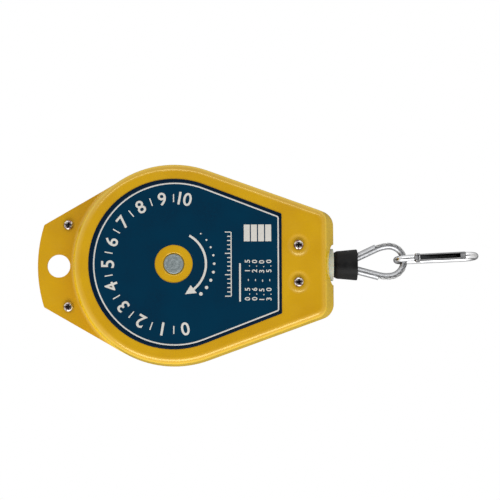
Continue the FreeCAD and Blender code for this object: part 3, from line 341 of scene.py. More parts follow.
def yellow_stove_enamel(finish):
    """Stove enamel on drawn sheet: a glossy film with a shallow peel; where it is seen edge on, richer, and
    lighter as painted light.
    """
    material, tree, shader, place = start_material(
        "yellow_stove_enamel", Roughness=0.2, IOR=1.62, Specular_IOR_Level=0.9,
        Specular_Tint=colour("#FFF0B4"))
    body = patches(tree, place, 34.0, tuple(finish.enamel), tuple(finish.enamel_thin), detail=2.0)
    specks = patches(tree, place, 1.1, body, colour("#E0B948"), 0.6, 0.75)
    speckled = add_node(tree, "ShaderNodeMix", {
        "Factor": 0.12, 6: body, 7: specks}, data_type="RGBA").outputs[2]
    facing = add_node(tree, "ShaderNodeLayerWeight", {"Blend": 0.5}).outputs["Facing"]
    edge_on = add_node(tree, "ShaderNodeMapRange", {
        "Value": facing, "From Min": 0.12, "From Max": 0.75}, interpolation_type="SMOOTHSTEP")
    # Painted light: surfaces seen edge on turn to the lighter, richer edge colour.
    rich = add_node(tree, "ShaderNodeMix", {
        "Factor": edge_on, 6: speckled, 7: tuple(finish.enamel_edge)}, data_type="RGBA").outputs[2]
    tree.links.new(rich, shader.inputs["Base Color"])
    uneven_gloss(tree, shader, place, 9.0, 0.15, 0.24)
    grain(tree, shader, place, 1.6, 0.05, 0.3, detail=1.5)
    return material


def plate_ink(name, base, wear):
    """Screen-printed ink on anodised sheet: satin, with the fine mottle of the mesh that it went through."""
    material, tree, shader, place = start_material(name, Roughness=0.5, Specular_IOR_Level=0.04)
    fine = patches(tree, place, 0.8, base, wear, 0.3, 0.7, detail=4.0)
    broad = patches(tree, place, 26.0, fine, base, detail=1.0)
    tree.links.new(broad, shader.inputs["Base Color"])
    uneven_gloss(tree, shader, place, 0.8, 0.44, 0.56)
    grain(tree, shader, place, 0.8, 0.02, 0.25)
    return material


def bright_zinc(finish):
    """Zinc plate, passivated: bright, with brown and violet patches, and painted shade that darkens the cross
    recess.
    """
    material, tree, shader, place = start_material("bright_zinc_plate", Metallic=1.0, Roughness=0.28)
    plate = patches(tree, place, 1.3, tuple(finish.zinc), tuple(finish.zinc_tint), 0.46, 0.56)
    # Painted shade: hollows within 3.2 mm, the cross recess most, darken towards a near-black brown.
    tree.links.new(grime(tree, plate, colour("#1A0C0A"), 3.2, 0.55, 0.95), shader.inputs["Base Color"])
    uneven_gloss(tree, shader, place, 0.5, 0.2, 0.38)
    grain(tree, shader, place, 0.35, 0.02, 0.3)
    return material


def turned_steel(finish):
    """Turned steel: the tool leaves fine rings on the ends, and the steel shows grey with a soft sheen."""
    material, tree, shader, place = start_material("turned_steel", Metallic=1.0, Roughness=0.42)
    centred = add_node(tree, "ShaderNodeMapping", {"Vector": place, "Location": (0, 0, -SHAFT_Z)})
    # The tool's rings are some tenths of a millimetre apart; drawn wider, so that they show.
    rings = add_node(tree, "ShaderNodeTexWave", {
        "Vector": centred, "Scale": feature(9.0), "Distortion": 1.0, "Detail": 2.0, "Detail Scale": 2.0},
        wave_type="RINGS", rings_direction="Y").outputs["Fac"]
    ringed = add_node(tree, "ShaderNodeMix", {
        "Factor": rings, 6: tuple(finish.shaft), 7: colour("#9DA7A8")}, data_type="RGBA").outputs[2]
    scratched = patches(tree, place, 0.7, ringed, colour("#6F797B"), 0.4, 0.7, detail=4.0)
    # Painted shade: hollows within 0.9 mm darken towards near black.
    tree.links.new(grime(tree, scratched, colour("#20201E"), 0.9, 0.2, 0.8), shader.inputs["Base Color"])
    uneven_gloss(tree, shader, place, 0.9, 0.4, 0.56)
    bump = add_node(tree, "ShaderNodeBump", {"Height": rings, "Distance": 0.03 * MM, "Strength": 0.5})
    tree.links.new(bump.outputs[0], shader.inputs["Normal"])
    return material


def nickel_plate(name, finish, shade_reach_mm):
    """Nickel plate on pressed steel: near mirror, with shallow waviness, and painted shade, near black, in
    narrow recesses.
    """
    material, tree, shader, place = start_material(name, Metallic=1.0, Roughness=0.12)
    plate = patches(tree, place, 5.0, tuple(finish.nickel), colour("#CDCED0"))
    # Painted shade: narrow recesses, such as the gate's slot, darken towards this near-black colour.
    oil = patches(tree, place, 1.2, colour("#060606"), colour("#303031"), 0.55, 0.7)
    tree.links.new(grime(tree, plate, oil, shade_reach_mm, 0.55, 0.9), shader.inputs["Base Color"])
    uneven_gloss(tree, shader, place, 1.2, 0.1, 0.26)
    grain(tree, shader, place, 3.5, 0.06, 0.35, detail=2.0)
    return material


def rolled_steel():
    """Polished rolled steel of the thimble: draw lines along it and a soft mirror."""
    material, tree, shader, place = start_material("polished_rolled_steel", Metallic=1.0, Roughness=0.32)
    lengthwise = add_node(tree, "ShaderNodeMapping", {"Vector": place, "Scale": (1.0, 1.0, 0.12)})
    lines = patches(tree, lengthwise, 0.6, colour("#8E8F91"), colour("#C6C7C9"), 0.3, 0.7, detail=4.0)
    tree.links.new(lines, shader.inputs["Base Color"])
    uneven_gloss(tree, shader, lengthwise, 0.6, 0.26, 0.42)
    grain(tree, shader, lengthwise, 0.6, 0.02, 0.4)
    return material


def galvanised_wire(rope):
    """Galvanised wire: grey zinc with a dull bloom, and painted shade that darkens it between the wires."""
    material, tree, shader, place = start_material("galvanised_wire", Metallic=1.0, Roughness=0.44)
    wire = patches(tree, place, 1.8, tuple(rope.steel), colour("#D2D2D1"))
    # Painted shade: the crevices between the wires darken towards a dark grey brown.
    tree.links.new(grime(tree, wire, colour("#2B2A28"), 0.6, 0.25, 0.85), shader.inputs["Base Color"])
    uneven_gloss(tree, shader, place, 1.8, 0.38, 0.52)
    return material


def laid_rope_surface(name, rope, position):
    """Wire rope seen as its surface: strands that wind round it, each with its own wires across."""
    material, tree, shader, place = start_material(name, Metallic=1.0, Roughness=0.36)
    along, around = position(tree, place)
    wound = add_node(tree, "ShaderNodeMath", {
        0: along, 1: math.tau / rope.strand_lay, 2: around}, operation="MULTIPLY_ADD")
    half_turns = add_node(tree, "ShaderNodeMath", {0: wound, 1: rope.strands / 2}, operation="MULTIPLY")
    wave = add_node(tree, "ShaderNodeMath", {0: half_turns}, operation="SINE")
    strand = add_node(tree, "ShaderNodeMath", {0: wave}, operation="ABSOLUTE")
    # The wires of each strand lie the other way, and their relief is a tenth of the strands'.
    run = add_node(tree, "ShaderNodeMath", {
        0: along, 1: WIRES_SEEN * math.tau / rope.wire_lay}, operation="MULTIPLY")
    crossing = add_node(tree, "ShaderNodeMath", {
        0: around, 1: float(-rope.strands), 2: run}, operation="MULTIPLY_ADD")
    wires = add_node(tree, "ShaderNodeMath", {0: crossing}, operation="SINE")
    height = add_node(tree, "ShaderNodeMath", {0: wires, 1: 0.1, 2: strand}, operation="MULTIPLY_ADD")
    # Painted shade: the colour goes from the steel to near black where the relief is low, between strands and
    # wires.
    lit = add_node(tree, "ShaderNodeMix", {
        "Factor": height, 6: colour("#3A3937"), 7: tuple(rope.steel)}, data_type="RGBA").outputs[2]
    tree.links.new(lit, shader.inputs["Base Color"])
    bump = add_node(tree, "ShaderNodeBump", {"Height": height, "Distance": 0.4 * MM, "Strength": 0.9})
    tree.links.new(bump.outputs[0], shader.inputs["Normal"])
    return material


def straight_position(tree, place):
    """Length along a rope that hangs on the Z axis, and the angle round it."""
    parts = add_node(tree, "ShaderNodeSeparateXYZ", {0: place}).outputs
    around = add_node(tree, "ShaderNodeMath", {0: parts[1], 1: parts[0]}, operation="ARCTAN2")
    return parts[2], around


def wound_position(tree, place):
    """Length along a rope that lies in the drum's grooves, and the angle round its own section."""
    centred = add_node(tree, "ShaderNodeMapping", {"Vector": place, "Location": (0, 0, -SHAFT_Z)})
    parts = add_node(tree, "ShaderNodeSeparateXYZ", {0: centred}).outputs
    turn = add_node(tree, "ShaderNodeMath", {0: parts[2], 1: parts[0]}, operation="ARCTAN2")
    along = add_node(tree, "ShaderNodeMath", {0: turn, 1: WINDING_R}, operation="MULTIPLY")
    flat = add_node(tree, "ShaderNodeVectorMath", {0: centred, 1: (1, 0, 1)}, operation="MULTIPLY")
    reach = add_node(tree, "ShaderNodeVectorMath", {0: flat}, operation="LENGTH").outputs["Value"]
    out = add_node(tree, "ShaderNodeMath", {0: reach, 1: WINDING_R}, operation="SUBTRACT")
    # Wraps the place across the drum into one groove, from half a pitch before its middle to half after.
    across = add_node(tree, "ShaderNodeMath", {
        0: parts[1], 1: GROOVE_PITCH / 2, 2: -GROOVE_PITCH / 2}, operation="WRAP")
    around = add_node(tree, "ShaderNodeMath", {0: across, 1: out}, operation="ARCTAN2")
    return along, around


def moulded_acetal(finish):
    """White acetal, injection moulded: satin, slightly see-through, with fine tool marks."""
    material, tree, shader, place = start_material(
        "moulded_acetal", Roughness=0.42, Specular_IOR_Level=0.4,
        Subsurface_Weight=0.12, Subsurface_Scale=2.0 * MM)
    cloud = patches(tree, place, 7.0, tuple(finish.guide), colour("#C6C8B2"), 0.3, 0.7)
    tree.links.new(cloud, shader.inputs["Base Color"])
    across = add_node(tree, "ShaderNodeMapping", {"Vector": place, "Scale": (1.0, 1.0, 0.15)})
    grain(tree, shader, across, 0.9, 0.05, 0.35)
    return material


def black_rubber(finish):
    """Moulded nitrile rubber: black with a grey bloom, a soft sheen and a fine grain from the mould."""
    material, tree, shader, place = start_material(
        "moulded_black_rubber", Roughness=0.5, Specular_IOR_Level=0.16)
    bloom = patches(tree, place, 6.0, tuple(finish.rubber), colour("#1C1D1E"), 0.4, 0.7)
    tree.links.new(bloom, shader.inputs["Base Color"])
    uneven_gloss(tree, shader, place, 6.0, 0.42, 0.6)
    grain(tree, shader, place, 0.5, 0.04, 0.4, detail=4.0)
    return material


def die_cast_aluminium():
    """Die-cast aluminium: pale grey with a fine grain and flow marks."""
    material, tree, shader, place = start_material("die_cast_aluminium", Metallic=1.0, Roughness=0.45)
    flow = patches(tree, place, 12.0, colour("#B9BBBC"), colour("#989B9D"), 0.3, 0.7, detail=4.0)
    tree.links.new(flow, shader.inputs["Base Color"])
    uneven_gloss(tree, shader, place, 2.0, 0.36, 0.56)
    grain(tree, shader, place, 0.5, 0.06, 0.5, detail=4.0)
    return material


def pressed_aluminium():
    """Pressed aluminium of the ferrule: soft, bright, with lines from the crimping dies."""
    material, tree, shader, place = start_material("pressed_aluminium", Metallic=1.0, Roughness=0.35)
    across = add_node(tree, "ShaderNodeMapping", {"Vector": place, "Scale": (0.15, 1.0, 1.0)})
    lines = patches(tree, across, 0.5, colour("#A7A8A9"), colour("#D0D1D2"), 0.2, 0.8)
    tree.links.new(lines, shader.inputs["Base Color"])
    grain(tree, shader, across, 0.5, 0.04, 0.5)
    return material


def sintered_bronze():
    """Sintered bronze: brown gold with dark oil in its pores."""
    material, tree, shader, place = start_material("sintered_bronze", Metallic=1.0, Roughness=0.42)
    pores = patches(tree, place, 0.5, colour("#5A4228"), colour("#A87C48"), 0.35, 0.55, detail=4.0)
    tree.links.new(pores, shader.inputs["Base Color"])
    grain(tree, shader, place, 0.5, 0.03, 0.6, detail=4.0)
    return material


def tempered_steel():
    """Hardened and tempered strip: dark grey oxide with rolling lines and an oil film."""
    material, tree, shader, place = start_material("tempered_spring_steel", Metallic=1.0, Roughness=0.3)
    rolled = add_node(tree, "ShaderNodeMapping", {"Vector": place, "Scale": (0.2, 1.0, 0.2)})
    lines = patches(tree, rolled, 0.5, colour("#232425"), colour("#4B4D4F"), 0.2, 0.8)
    tree.links.new(lines, shader.inputs["Base Color"])
    uneven_gloss(tree, shader, place, 4.0, 0.22, 0.4)
    grain(tree, shader, rolled, 0.5, 0.02, 0.4)
    return material


# ---- Plate print ----------------------------------------------------------------------------------
PLATE_LEAN = math.radians(21)
RANGES = ("0.5 - 1.5", "0.6 - 2.0", "1.5 - 3.0", "3.0 - 5.0")
# Places and sizes of the plate's small marks, in millimetres about the shaft: X to the right, Y up.
ROW_PITCH = 5.0
RANGE_X, RANGE_Y, RANGE_HEIGHT = -11.6, -51.6, 3.7
BLOCK_LEFT, BLOCK_RIGHT, BLOCK_TOP, BLOCK_HEIGHT = 15.6, 27.4, -49.2, 4.2
HEADING_LEFT, HEADING_RIGHT, HEADING_TOP, HEADING_BOTTOM = -26.6, 0.2, -45.8, -47.0
RULE_LEFT, RULE_Y, RULE_STROKE, RULE_OVERLAP = -22.8, -39.9, 0.7, 0.1
# The rule's steps, every so many of which has a long mark, and the marks' heights.
RULE_STEP, RULE_STEPS, RULE_LONG_EVERY, RULE_LONG, RULE_SHORT = 3.0, 15, 5, 4.0, 2.4
# The dots' circle, their number and sides, the first one's radius and how much each next one gains.
DOT_CIRCLE, DOT_COUNT, DOT_SIDES, DOT_FIRST, DOT_GAIN = 28.4, 9, 20, 0.55, 0.09
DOT_START_DEG, DOT_STEP_DEG = -42.0, -12.0


def plate_outline(inset, corner_r):
    """The plate's outline moved in by inset: a round top about the shaft, leaning sides, a flat bottom."""
    low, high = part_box("label_plate")
    round_r = high.z - SHAFT_Z - inset
    bottom = low.z - SHAFT_Z + inset
    steps, corner_steps = 64, 8
    arc = [(math.pi + 2 * PLATE_LEAN) * i / steps - PLATE_LEAN for i in range(steps + 1)]
    points = [polar(round_r, a) for a in arc]
    tangent = Vector(polar(round_r, -PLATE_LEAN))
    corner = Vector((tangent.x - (tangent.y - bottom) * math.tan(PLATE_LEAN), bottom))
    towards_side = (tangent - corner).normalized()
    towards_middle = Vector((-1, 0))
    half = towards_side.angle(towards_middle) / 2
    reach = corner_r / math.tan(half)
    centre = corner + (towards_side + towards_middle).normalized() * (corner_r / math.sin(half))
    from_side = corner + towards_side * reach - centre
    to_bottom = corner + towards_middle * reach - centre
    right = [
        tuple(centre + to_bottom.lerp(from_side, i / corner_steps).normalized() * corner_r)
        for i in range(corner_steps + 1)]
    left = [(-x, y) for x, y in reversed(right)]
    return points + left + right


def ribbon_tree():
    """A flat printed line along a curve, with named width and height."""
    tree, given = start_tree("plate_line", [("Width", "Float"), ("Height", "Float"), ("Ink", "Material")])
    section = add_node(tree, "GeometryNodeCurvePrimitiveQuadrilateral", {
        "Width": given.outputs["Width"], "Height": given.outputs["Height"]}, mode="RECTANGLE")
    swept = add_node(tree, "GeometryNodeCurveToMesh", {0: given.outputs[0], 1: section, "Fill Caps": True})
    return end_tree(tree, swept, given.outputs["Ink"])


def tick_tree():
    """Ticks on an arc: one small bar at each step of the angle, turned to point at the centre."""
    tree, given = start_tree("scale_ticks", [
        ("Last", "Int"), ("Start Angle", "Float"), ("End Angle", "Float"), ("Radius", "Float"),
        ("Length", "Float"), ("Width", "Float"), ("Height", "Float"), ("Ink", "Material")])
    out = given.outputs
    count = add_node(tree, "ShaderNodeMath", {0: out["Last"], 1: 1.0}, operation="ADD")
    points = add_node(tree, "GeometryNodePoints", {"Count": count})
    angle = add_node(tree, "ShaderNodeMapRange", {
        "Value": add_node(tree, "GeometryNodeInputIndex"), "From Max": out["Last"],
        "To Min": out["Start Angle"], "To Max": out["End Angle"]})
    upright = add_node(tree, "ShaderNodeCombineXYZ", {"Y": out["Radius"]})
    turned = add_node(tree, "ShaderNodeVectorRotate", {
        "Vector": upright, "Angle": angle}, rotation_type="Z_AXIS")
    placed = add_node(tree, "GeometryNodeSetPosition", {0: points, "Position": turned})
    bar = add_node(tree, "GeometryNodeMeshCube", {"Size": (1.0, 1.0, 1.0)})
    ticks = add_node(tree, "GeometryNodeInstanceOnPoints", {
        "Points": placed, "Instance": bar,
        "Rotation": add_node(tree, "ShaderNodeCombineXYZ", {"Z": angle}),
        "Scale": add_node(tree, "ShaderNodeCombineXYZ", {
            "X": out["Width"], "Y": out["Length"], "Z": out["Height"]})})
    return end_tree(tree, ticks, out["Ink"])


def numeral_mesh(text, height, lift, spacing, weight):
    """A numeral's mesh, its middle at the origin, as tall as asked and as thick as the ink."""
    curve = bpy.data.curves.new("numeral", "FONT")
    curve.body = text
    curve.size = 1.0
    curve.offset = weight
    curve.space_character = spacing
    curve.resolution_u = 6
    curve.extrude = 0.5
    source = bpy.data.objects.new("numeral", curve)
    bpy.context.scene.collection.objects.link(source)
    mesh = plain_mesh(source)
    low = Vector([min(v.co[i] for v in mesh.vertices) for i in range(3)])
    high = Vector([max(v.co[i] for v in mesh.vertices) for i in range(3)])
    scale = height / (high.y - low.y)
    mesh.transform(Matrix.Diagonal((scale, scale, lift, 1)) @ Matrix.Translation(-(low + high) / 2))
    return mesh


def joined(name, parts, place):
    """One piece from several meshes, each with its own place in the flat work."""
    made = bmesh.new()
    for mesh, where in parts:
        mesh.transform(where)
        made.from_mesh(mesh)
        bpy.data.meshes.remove(mesh)
    return mesh_piece(name, outward_mesh(name, made), place)


def flat_form(points, lift):
    """A flat printed form with this outline."""
    made = bmesh.new()
    face = made.faces.new([made.verts.new((x, y, -lift / 2)) for x, y in points])
    grown = bmesh.ops.extrude_face_region(made, geom=[face])
    bmesh.ops.translate(
        made, verts=[v for v in grown["geom"] if isinstance(v, bmesh.types.BMVert)], vec=(0, 0, lift))
    return outward_mesh("form", made)


def bar_form(left, right, top, bottom, lift):
    """A flat printed bar; its sides are in millimetres about the shaft."""
    return flat_form([(x * MM, y * MM) for x, y in (
        (left, bottom), (right, bottom), (right, top), (left, top))], lift)


def arrow_points(radius, width, start, end, head):
    """A curved arrow about the shaft, from its start to its tip; angles are from +X, and fall clockwise."""
    neck = end + head / radius
    steps = 40
    angles = [start + (neck - start) * i / steps for i in range(steps + 1)]
    outer = [polar(radius + width / 2, a) for a in angles]
    inner = [polar(radius - width / 2, a) for a in reversed(angles)]
    # The tip lies a little outside the arrow's circle, because the head is straight.
    tip = polar(radius * 1.005, end)
    return outer + [polar(radius + head / 2, neck), tip, polar(radius - head / 2, neck)] + inner


def dot_points(number):
    """One of the dots along the arrow, which grow towards its tip."""
    centre = Vector(polar(DOT_CIRCLE, math.radians(DOT_START_DEG + DOT_STEP_DEG * number)))
    size = DOT_FIRST + DOT_GAIN * number
    return [(centre + Vector(polar(size, math.tau * k / DOT_SIDES))) * MM for k in range(DOT_SIDES)]


def small_forms(marks):
    """The turning arrow with its dots, a block for each range, the bar over the ranges and a small rule."""
    lift = marks.lift
    forms = [flat_form(arrow_points(
        marks.arrow_radius, marks.arrow_width, marks.arrow_start, marks.arrow_end, marks.arrow_head), lift)]
    for row in range(len(RANGES)):
        top = BLOCK_TOP - ROW_PITCH * row
        forms.append(bar_form(BLOCK_LEFT, BLOCK_RIGHT, top, top - BLOCK_HEIGHT, lift))
    forms.append(bar_form(HEADING_LEFT, HEADING_RIGHT, HEADING_TOP, HEADING_BOTTOM, lift))
    rule_right = RULE_LEFT + RULE_STEP * RULE_STEPS
    forms.append(bar_form(RULE_LEFT, rule_right, RULE_Y, RULE_Y - RULE_STROKE, lift))
    for i in range(RULE_STEPS + 1):
        x = RULE_LEFT + RULE_STEP * i
        top = RULE_Y + (RULE_SHORT if i % RULE_LONG_EVERY else RULE_LONG)
        forms.append(bar_form(x - RULE_STROKE / 2, x + RULE_STROKE / 2, top, RULE_Y - RULE_OVERLAP, lift))
    forms += [flat_form(dot_points(i), lift) for i in range(DOT_COUNT)]
    return forms


# ---- Rope -----------------------------------------------------------------------------------------
def rope_tree():
    """Lays strands of wires round a curve: each copy of the curve winds round it and round its strand."""
    tree, given = start_tree("laid_rope", [
        ("Strands", "Int"), ("Wires", "Int"), ("Strand Circle", "Float"), ("Wire Circle", "Float"),
        ("Wire Radius", "Float"), ("Core Radius", "Float"), ("Strand Lay", "Float"), ("Wire Lay", "Float"),
        ("Step", "Float"), ("Wire", "Material")])
    out = given.outputs
    path = add_node(tree, "GeometryNodeResampleCurve", {
        "Curve": out[0], "Length": out["Step"]}, mode="LENGTH")
    amount = add_node(tree, "ShaderNodeMath", {0: out["Strands"], 1: out["Wires"]}, operation="MULTIPLY")
    copies = add_node(tree, "GeometryNodeDuplicateElements", {
        0: path, "Amount": amount}, domain="SPLINE").outputs
    # A copy's number over the strands is where its strand starts, in turns. The whole turns of that over the
    # wires are where its wire starts.
    strand_start = add_node(tree, "ShaderNodeMath", {
        0: copies["Duplicate Index"], 1: out["Strands"]}, operation="DIVIDE")
    whole = add_node(tree, "ShaderNodeMath", {0: strand_start}, operation="FLOOR")
    wire_start = add_node(tree, "ShaderNodeMath", {0: whole, 1: out["Wires"]}, operation="DIVIDE")
    run = add_node(tree, "GeometryNodeSplineParameter").outputs["Length"]
    normal = add_node(tree, "GeometryNodeInputNormal")
    tangent = add_node(tree, "GeometryNodeInputTangent")
    arms = []
    for start, lay, circle in (
            (strand_start, out["Strand Lay"], out["Strand Circle"]),
            (wire_start, out["Wire Lay"], out["Wire Circle"])):
        wound = add_node(tree, "ShaderNodeMath", {0: run, 1: lay}, operation="DIVIDE")
        turns = add_node(tree, "ShaderNodeMath", {0: start, 1: wound}, operation="ADD")
        angle = add_node(tree, "ShaderNodeMath", {0: turns, 1: math.tau}, operation="MULTIPLY")
        arm = add_node(tree, "ShaderNodeVectorRotate", {
            "Vector": normal, "Axis": tangent, "Angle": angle}, rotation_type="AXIS_ANGLE")
        arms.append(add_node(tree, "ShaderNodeVectorMath", {
            0: arm, "Scale": circle}, operation="SCALE").outputs[0])
    offset = add_node(tree, "ShaderNodeVectorMath", {0: arms[0], 1: arms[1]}, operation="ADD")
    laid = add_node(tree, "GeometryNodeSetPosition", {0: copies[0], "Offset": offset})
    wire_section = add_node(tree, "GeometryNodeCurvePrimitiveCircle", {
        "Resolution": 6, "Radius": out["Wire Radius"]}, mode="RADIUS")
    core_section = add_node(tree, "GeometryNodeCurvePrimitiveCircle", {
        "Resolution": 12, "Radius": out["Core Radius"]}, mode="RADIUS")
    both = add_node(tree, "GeometryNodeJoinGeometry")
    for line, section in ((path, core_section), (laid, wire_section)):
        swept = add_node(tree, "GeometryNodeCurveToMesh", {0: line, 1: section, "Fill Caps": True})
        tree.links.new(swept.outputs[0], both.inputs[0])
    smooth = add_node(tree, "GeometryNodeSetShadeSmooth", {0: both})
    return end_tree(tree, smooth, out["Wire"])


def rope_mesh(curve, rope, material):
    """The plain mesh of a rope of the set build along this curve."""
    # Six round six: a strand is a third of the rope across, and a wire a third of a strand.
    strand_r = rope.radius / 3
    wire_r = strand_r / 3
    return nodes_mesh(curve, rope_tree(), {
        "Strands": rope.strands, "Wires": rope.wires, "Strand Circle": 2 * strand_r,
        "Wire Circle": 2 * wire_r, "Wire Radius": wire_r, "Core Radius": CORE_SHARE * rope.radius,
        "Strand Lay": rope.strand_lay, "Wire Lay": -rope.wire_lay, "Step": rope.step, "Wire": material})


# The core's radius over the rope's, and the steps along and round the rope that runs out of the guide.
CORE_SHARE = 0.62
DROP_RINGS, DROP_SIDES = 240, 24
# The eye's rope centre, as it is laid round its thimble, in its own plane before the eye's set to one side.
EYE_TOP_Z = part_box("crimp_ferrule")[0].z
EYE_SET = math.radians(-5.0)
LEG_LEAN = math.radians(20.0)
LEG_SPACING = 2.3 * MM
LEG_SOCKET = 0.5 * MM
LEG_RUN = 22.2 * MM
SWELL_R = 26.1 * MM


def bezier_arc(centre, radius, angles):
    """Handles and points of a circular arc through these angles, as Bezier knots."""
    knots = []
    for i, angle in enumerate(angles):
        point = Vector((math.cos(angle), math.sin(angle))) * radius + centre
        along = Vector((-math.sin(angle), math.cos(angle)))
        before = angles[i] - angles[i - 1] if i else 0
        after = angles[i + 1] - angles[i] if i + 1 < len(angles) else 0
        knots.append((
            point - along * radius * 4 / 3 * math.tan(before / 4), point,
            point + along * radius * 4 / 3 * math.tan(after / 4)))
    return knots


def eye_curve():
    """Rope centre of the eye as one Bezier spline, in X and Y, with the ferrule's lower face at Y = 0."""
    down = Vector((math.sin(LEG_LEAN), -math.cos(LEG_LEAN)))
    out = Vector((math.cos(LEG_LEAN), math.sin(LEG_LEAN)))
    start = Vector((LEG_SPACING, 0)) - down * LEG_SOCKET
    leg_end = start + down * LEG_RUN
    swell_centre = leg_end - out * SWELL_R
    side = swell_centre + Vector((SWELL_R, 0))
    swell = bezier_arc(swell_centre, SWELL_R, [LEG_LEAN, 0.0])
    crown = bezier_arc(Vector((0, side.y)), side.x, [0.0, -math.pi / 2, -math.pi])
    third = (leg_end - start) / 3
    right = [
        (start - third, start, start + third), (leg_end - third, leg_end, swell[0][2]),
        (swell[1][0], side, crown[0][2])]
    left = [[Vector((-point.x, point.y)) for point in reversed(knot)] for knot in reversed(right)]
    knots = [*right, crown[1], *left]
    curve = bpy.data.curves.new("eye_centre", "CURVE")
    curve.dimensions = "2D"
    curve.resolution_u = 24
    spline = curve.splines.new("BEZIER")
    spline.bezier_points.add(len(knots) - 1)
    for point, (before, middle, after) in zip(spline.bezier_points, knots):
        point.handle_left_type = point.handle_right_type = "FREE"
        point.handle_left = (*before, 0)
        point.co = (*middle, 0)
        point.handle_right = (*after, 0)
    return curve


def lathe(name, profile, steps):
    """A closed turned form from (radius, height) points that start and end on its axis."""
    made = bmesh.new()
    verts = [made.verts.new((r, 0, z)) for r, z in profile]
    edges = [made.edges.new(pair) for pair in zip(verts, verts[1:])]
    bmesh.ops.spin(
        made, geom=verts + edges, cent=(0, 0, 0), axis=(0, 0, 1), angle=math.tau, steps=steps, use_merge=True)
    bmesh.ops.remove_doubles(made, verts=made.verts, dist=1e-7)
    for face in made.faces:
        face.smooth = True
    return mesh_piece(name, outward_mesh(name, made))


# ---- Studio ---------------------------------------------------------------------------------------
WHITE = (1.0, 1.0, 1.0)
CAMERA_AT = Vector((-0.0624, -1.2, -0.1234))
CAMERA_LEAN = Vector([math.radians(a) for a in (-3.501, 0.615, 0.25)])
HOOK_RIGHT = Matrix(((0, 0, -1), (1, 0, 0), (0, -1, 0)))
FLOOR_HALF = 1.6
FADE_START, FADE_END = 0.3, 1.5


def studio_world(stage):
    """White behind the object, an even light on it, and for gloss a studio that is bright at its sides."""
    world = bpy.data.worlds.new("studio")
    world.use_nodes = True
    tree = world.node_tree
    tree.nodes.clear()
    sight = add_node(tree, "ShaderNodeLightPath").outputs
    seen = add_node(tree, "ShaderNodeMath", {
        0: sight["Is Camera Ray"], 1: sight["Is Transmission Ray"]}, operation="MAXIMUM")
    direction = add_node(tree, "ShaderNodeTexCoord").outputs["Generated"]
    depth = add_node(tree, "ShaderNodeSeparateXYZ", {0: direction}).outputs[1]
    flat = add_node(tree, "ShaderNodeVectorMath", {0: direction, 1: (1, 0, 0.6)}, operation="MULTIPLY")
    sideways = add_node(tree, "ShaderNodeVectorMath", {0: flat}, operation="LENGTH").outputs["Value"]
    walls = add_node(tree, "ShaderNodeMapRange", {
        "Value": sideways, "From Min": 0.05, "From Max": 0.75, "To Min": 0.16, "To Max": 1.15},
        interpolation_type="SMOOTHSTEP")
    # Mirrored surfaces seen edge on look behind the balancer, where the studio is dim: it draws their edges.
    behind = add_node(tree, "ShaderNodeMapRange", {
        "Value": depth, "From Min": 0.15, "From Max": 0.75, "To Min": 1.0, "To Max": 0.36},
        interpolation_type="SMOOTHSTEP")
    mirrored = add_node(tree, "ShaderNodeMath", {0: walls, 1: behind}, operation="MULTIPLY")
    even = add_node(tree, "ShaderNodeMapRange", {
        "Value": sideways, "From Min": 0.1, "From Max": 0.9,
        "To Min": stage.fill, "To Max": 2.2 * stage.fill})
    gloss = add_node(tree, "ShaderNodeBackground", {"Color": WHITE, "Strength": mirrored})
    light = add_node(tree, "ShaderNodeBackground", {"Color": WHITE, "Strength": even})
    white = add_node(tree, "ShaderNodeBackground", {"Color": WHITE, "Strength": 1.0})
    lit = add_node(tree, "ShaderNodeMixShader", {0: sight["Is Glossy Ray"], 1: light, 2: gloss}).outputs[0]
    shown = add_node(tree, "ShaderNodeMixShader", {0: seen, 1: lit, 2: white})
    add_node(tree, "ShaderNodeOutputWorld", {0: shown})
    return world


def studio_floor(stage):
    """Pale paper that fades out before its edge, so that no corner of it cuts into the white."""
    mesh = bpy.data.meshes.new("studio_floor")
    corners = ((-1, -1), (1, -1), (1, 1), (-1, 1))
    mesh.from_pydata(
        [(x * FLOOR_HALF, y * FLOOR_HALF, -stage.floor_drop) for x, y in corners], [], [(0, 1, 2, 3)])
    floor = mesh_piece("studio_floor", mesh)
    material, tree, shader, place = start_material("pale_paper", Roughness=0.8, Specular_IOR_Level=0.2)
    fibre = patches(tree, place, 3.0, colour("#F0EFEC"), colour("#F6F5F3"), 0.2, 0.8, detail=4.0)
    tree.links.new(fibre, shader.inputs["Base Color"])
    flat = add_node(tree, "ShaderNodeVectorMath", {0: place, 1: (1, 1, 0)}, operation="MULTIPLY")
    reach = add_node(tree, "ShaderNodeVectorMath", {0: flat}, operation="LENGTH").outputs["Value"]
    fade = add_node(tree, "ShaderNodeMapRange", {
        "Value": reach, "From Min": FADE_START, "From Max": FADE_END},
        interpolation_type="SMOOTHSTEP")
    clear = add_node(tree, "ShaderNodeBsdfTransparent")
    fading = add_node(tree, "ShaderNodeMixShader", {0: fade, 1: shader.outputs[0], 2: clear}).outputs[0]
    tree.links.new(fading, tree.nodes["Material Output"].inputs[0])
    floor.data.materials.append(material)
    return floor


def soft_box(name, place, power, size):
    """A soft box at this place from the object's middle, which it faces."""
    lamp = bpy.data.lights.new(name, "AREA")
    lamp.shape = "RECTANGLE"
    lamp.size, lamp.size_y = size
    lamp.energy = power
    holder = bpy.data.objects.new(name, lamp)
    bpy.context.scene.collection.objects.link(holder)
    holder.location = Vector((0, 0, (CAD_BOUNDS[0][2] + CAD_BOUNDS[1][2]) / 2)) + place
    holder.rotation_euler = (-place).to_track_quat("-Z", "Y").to_euler()


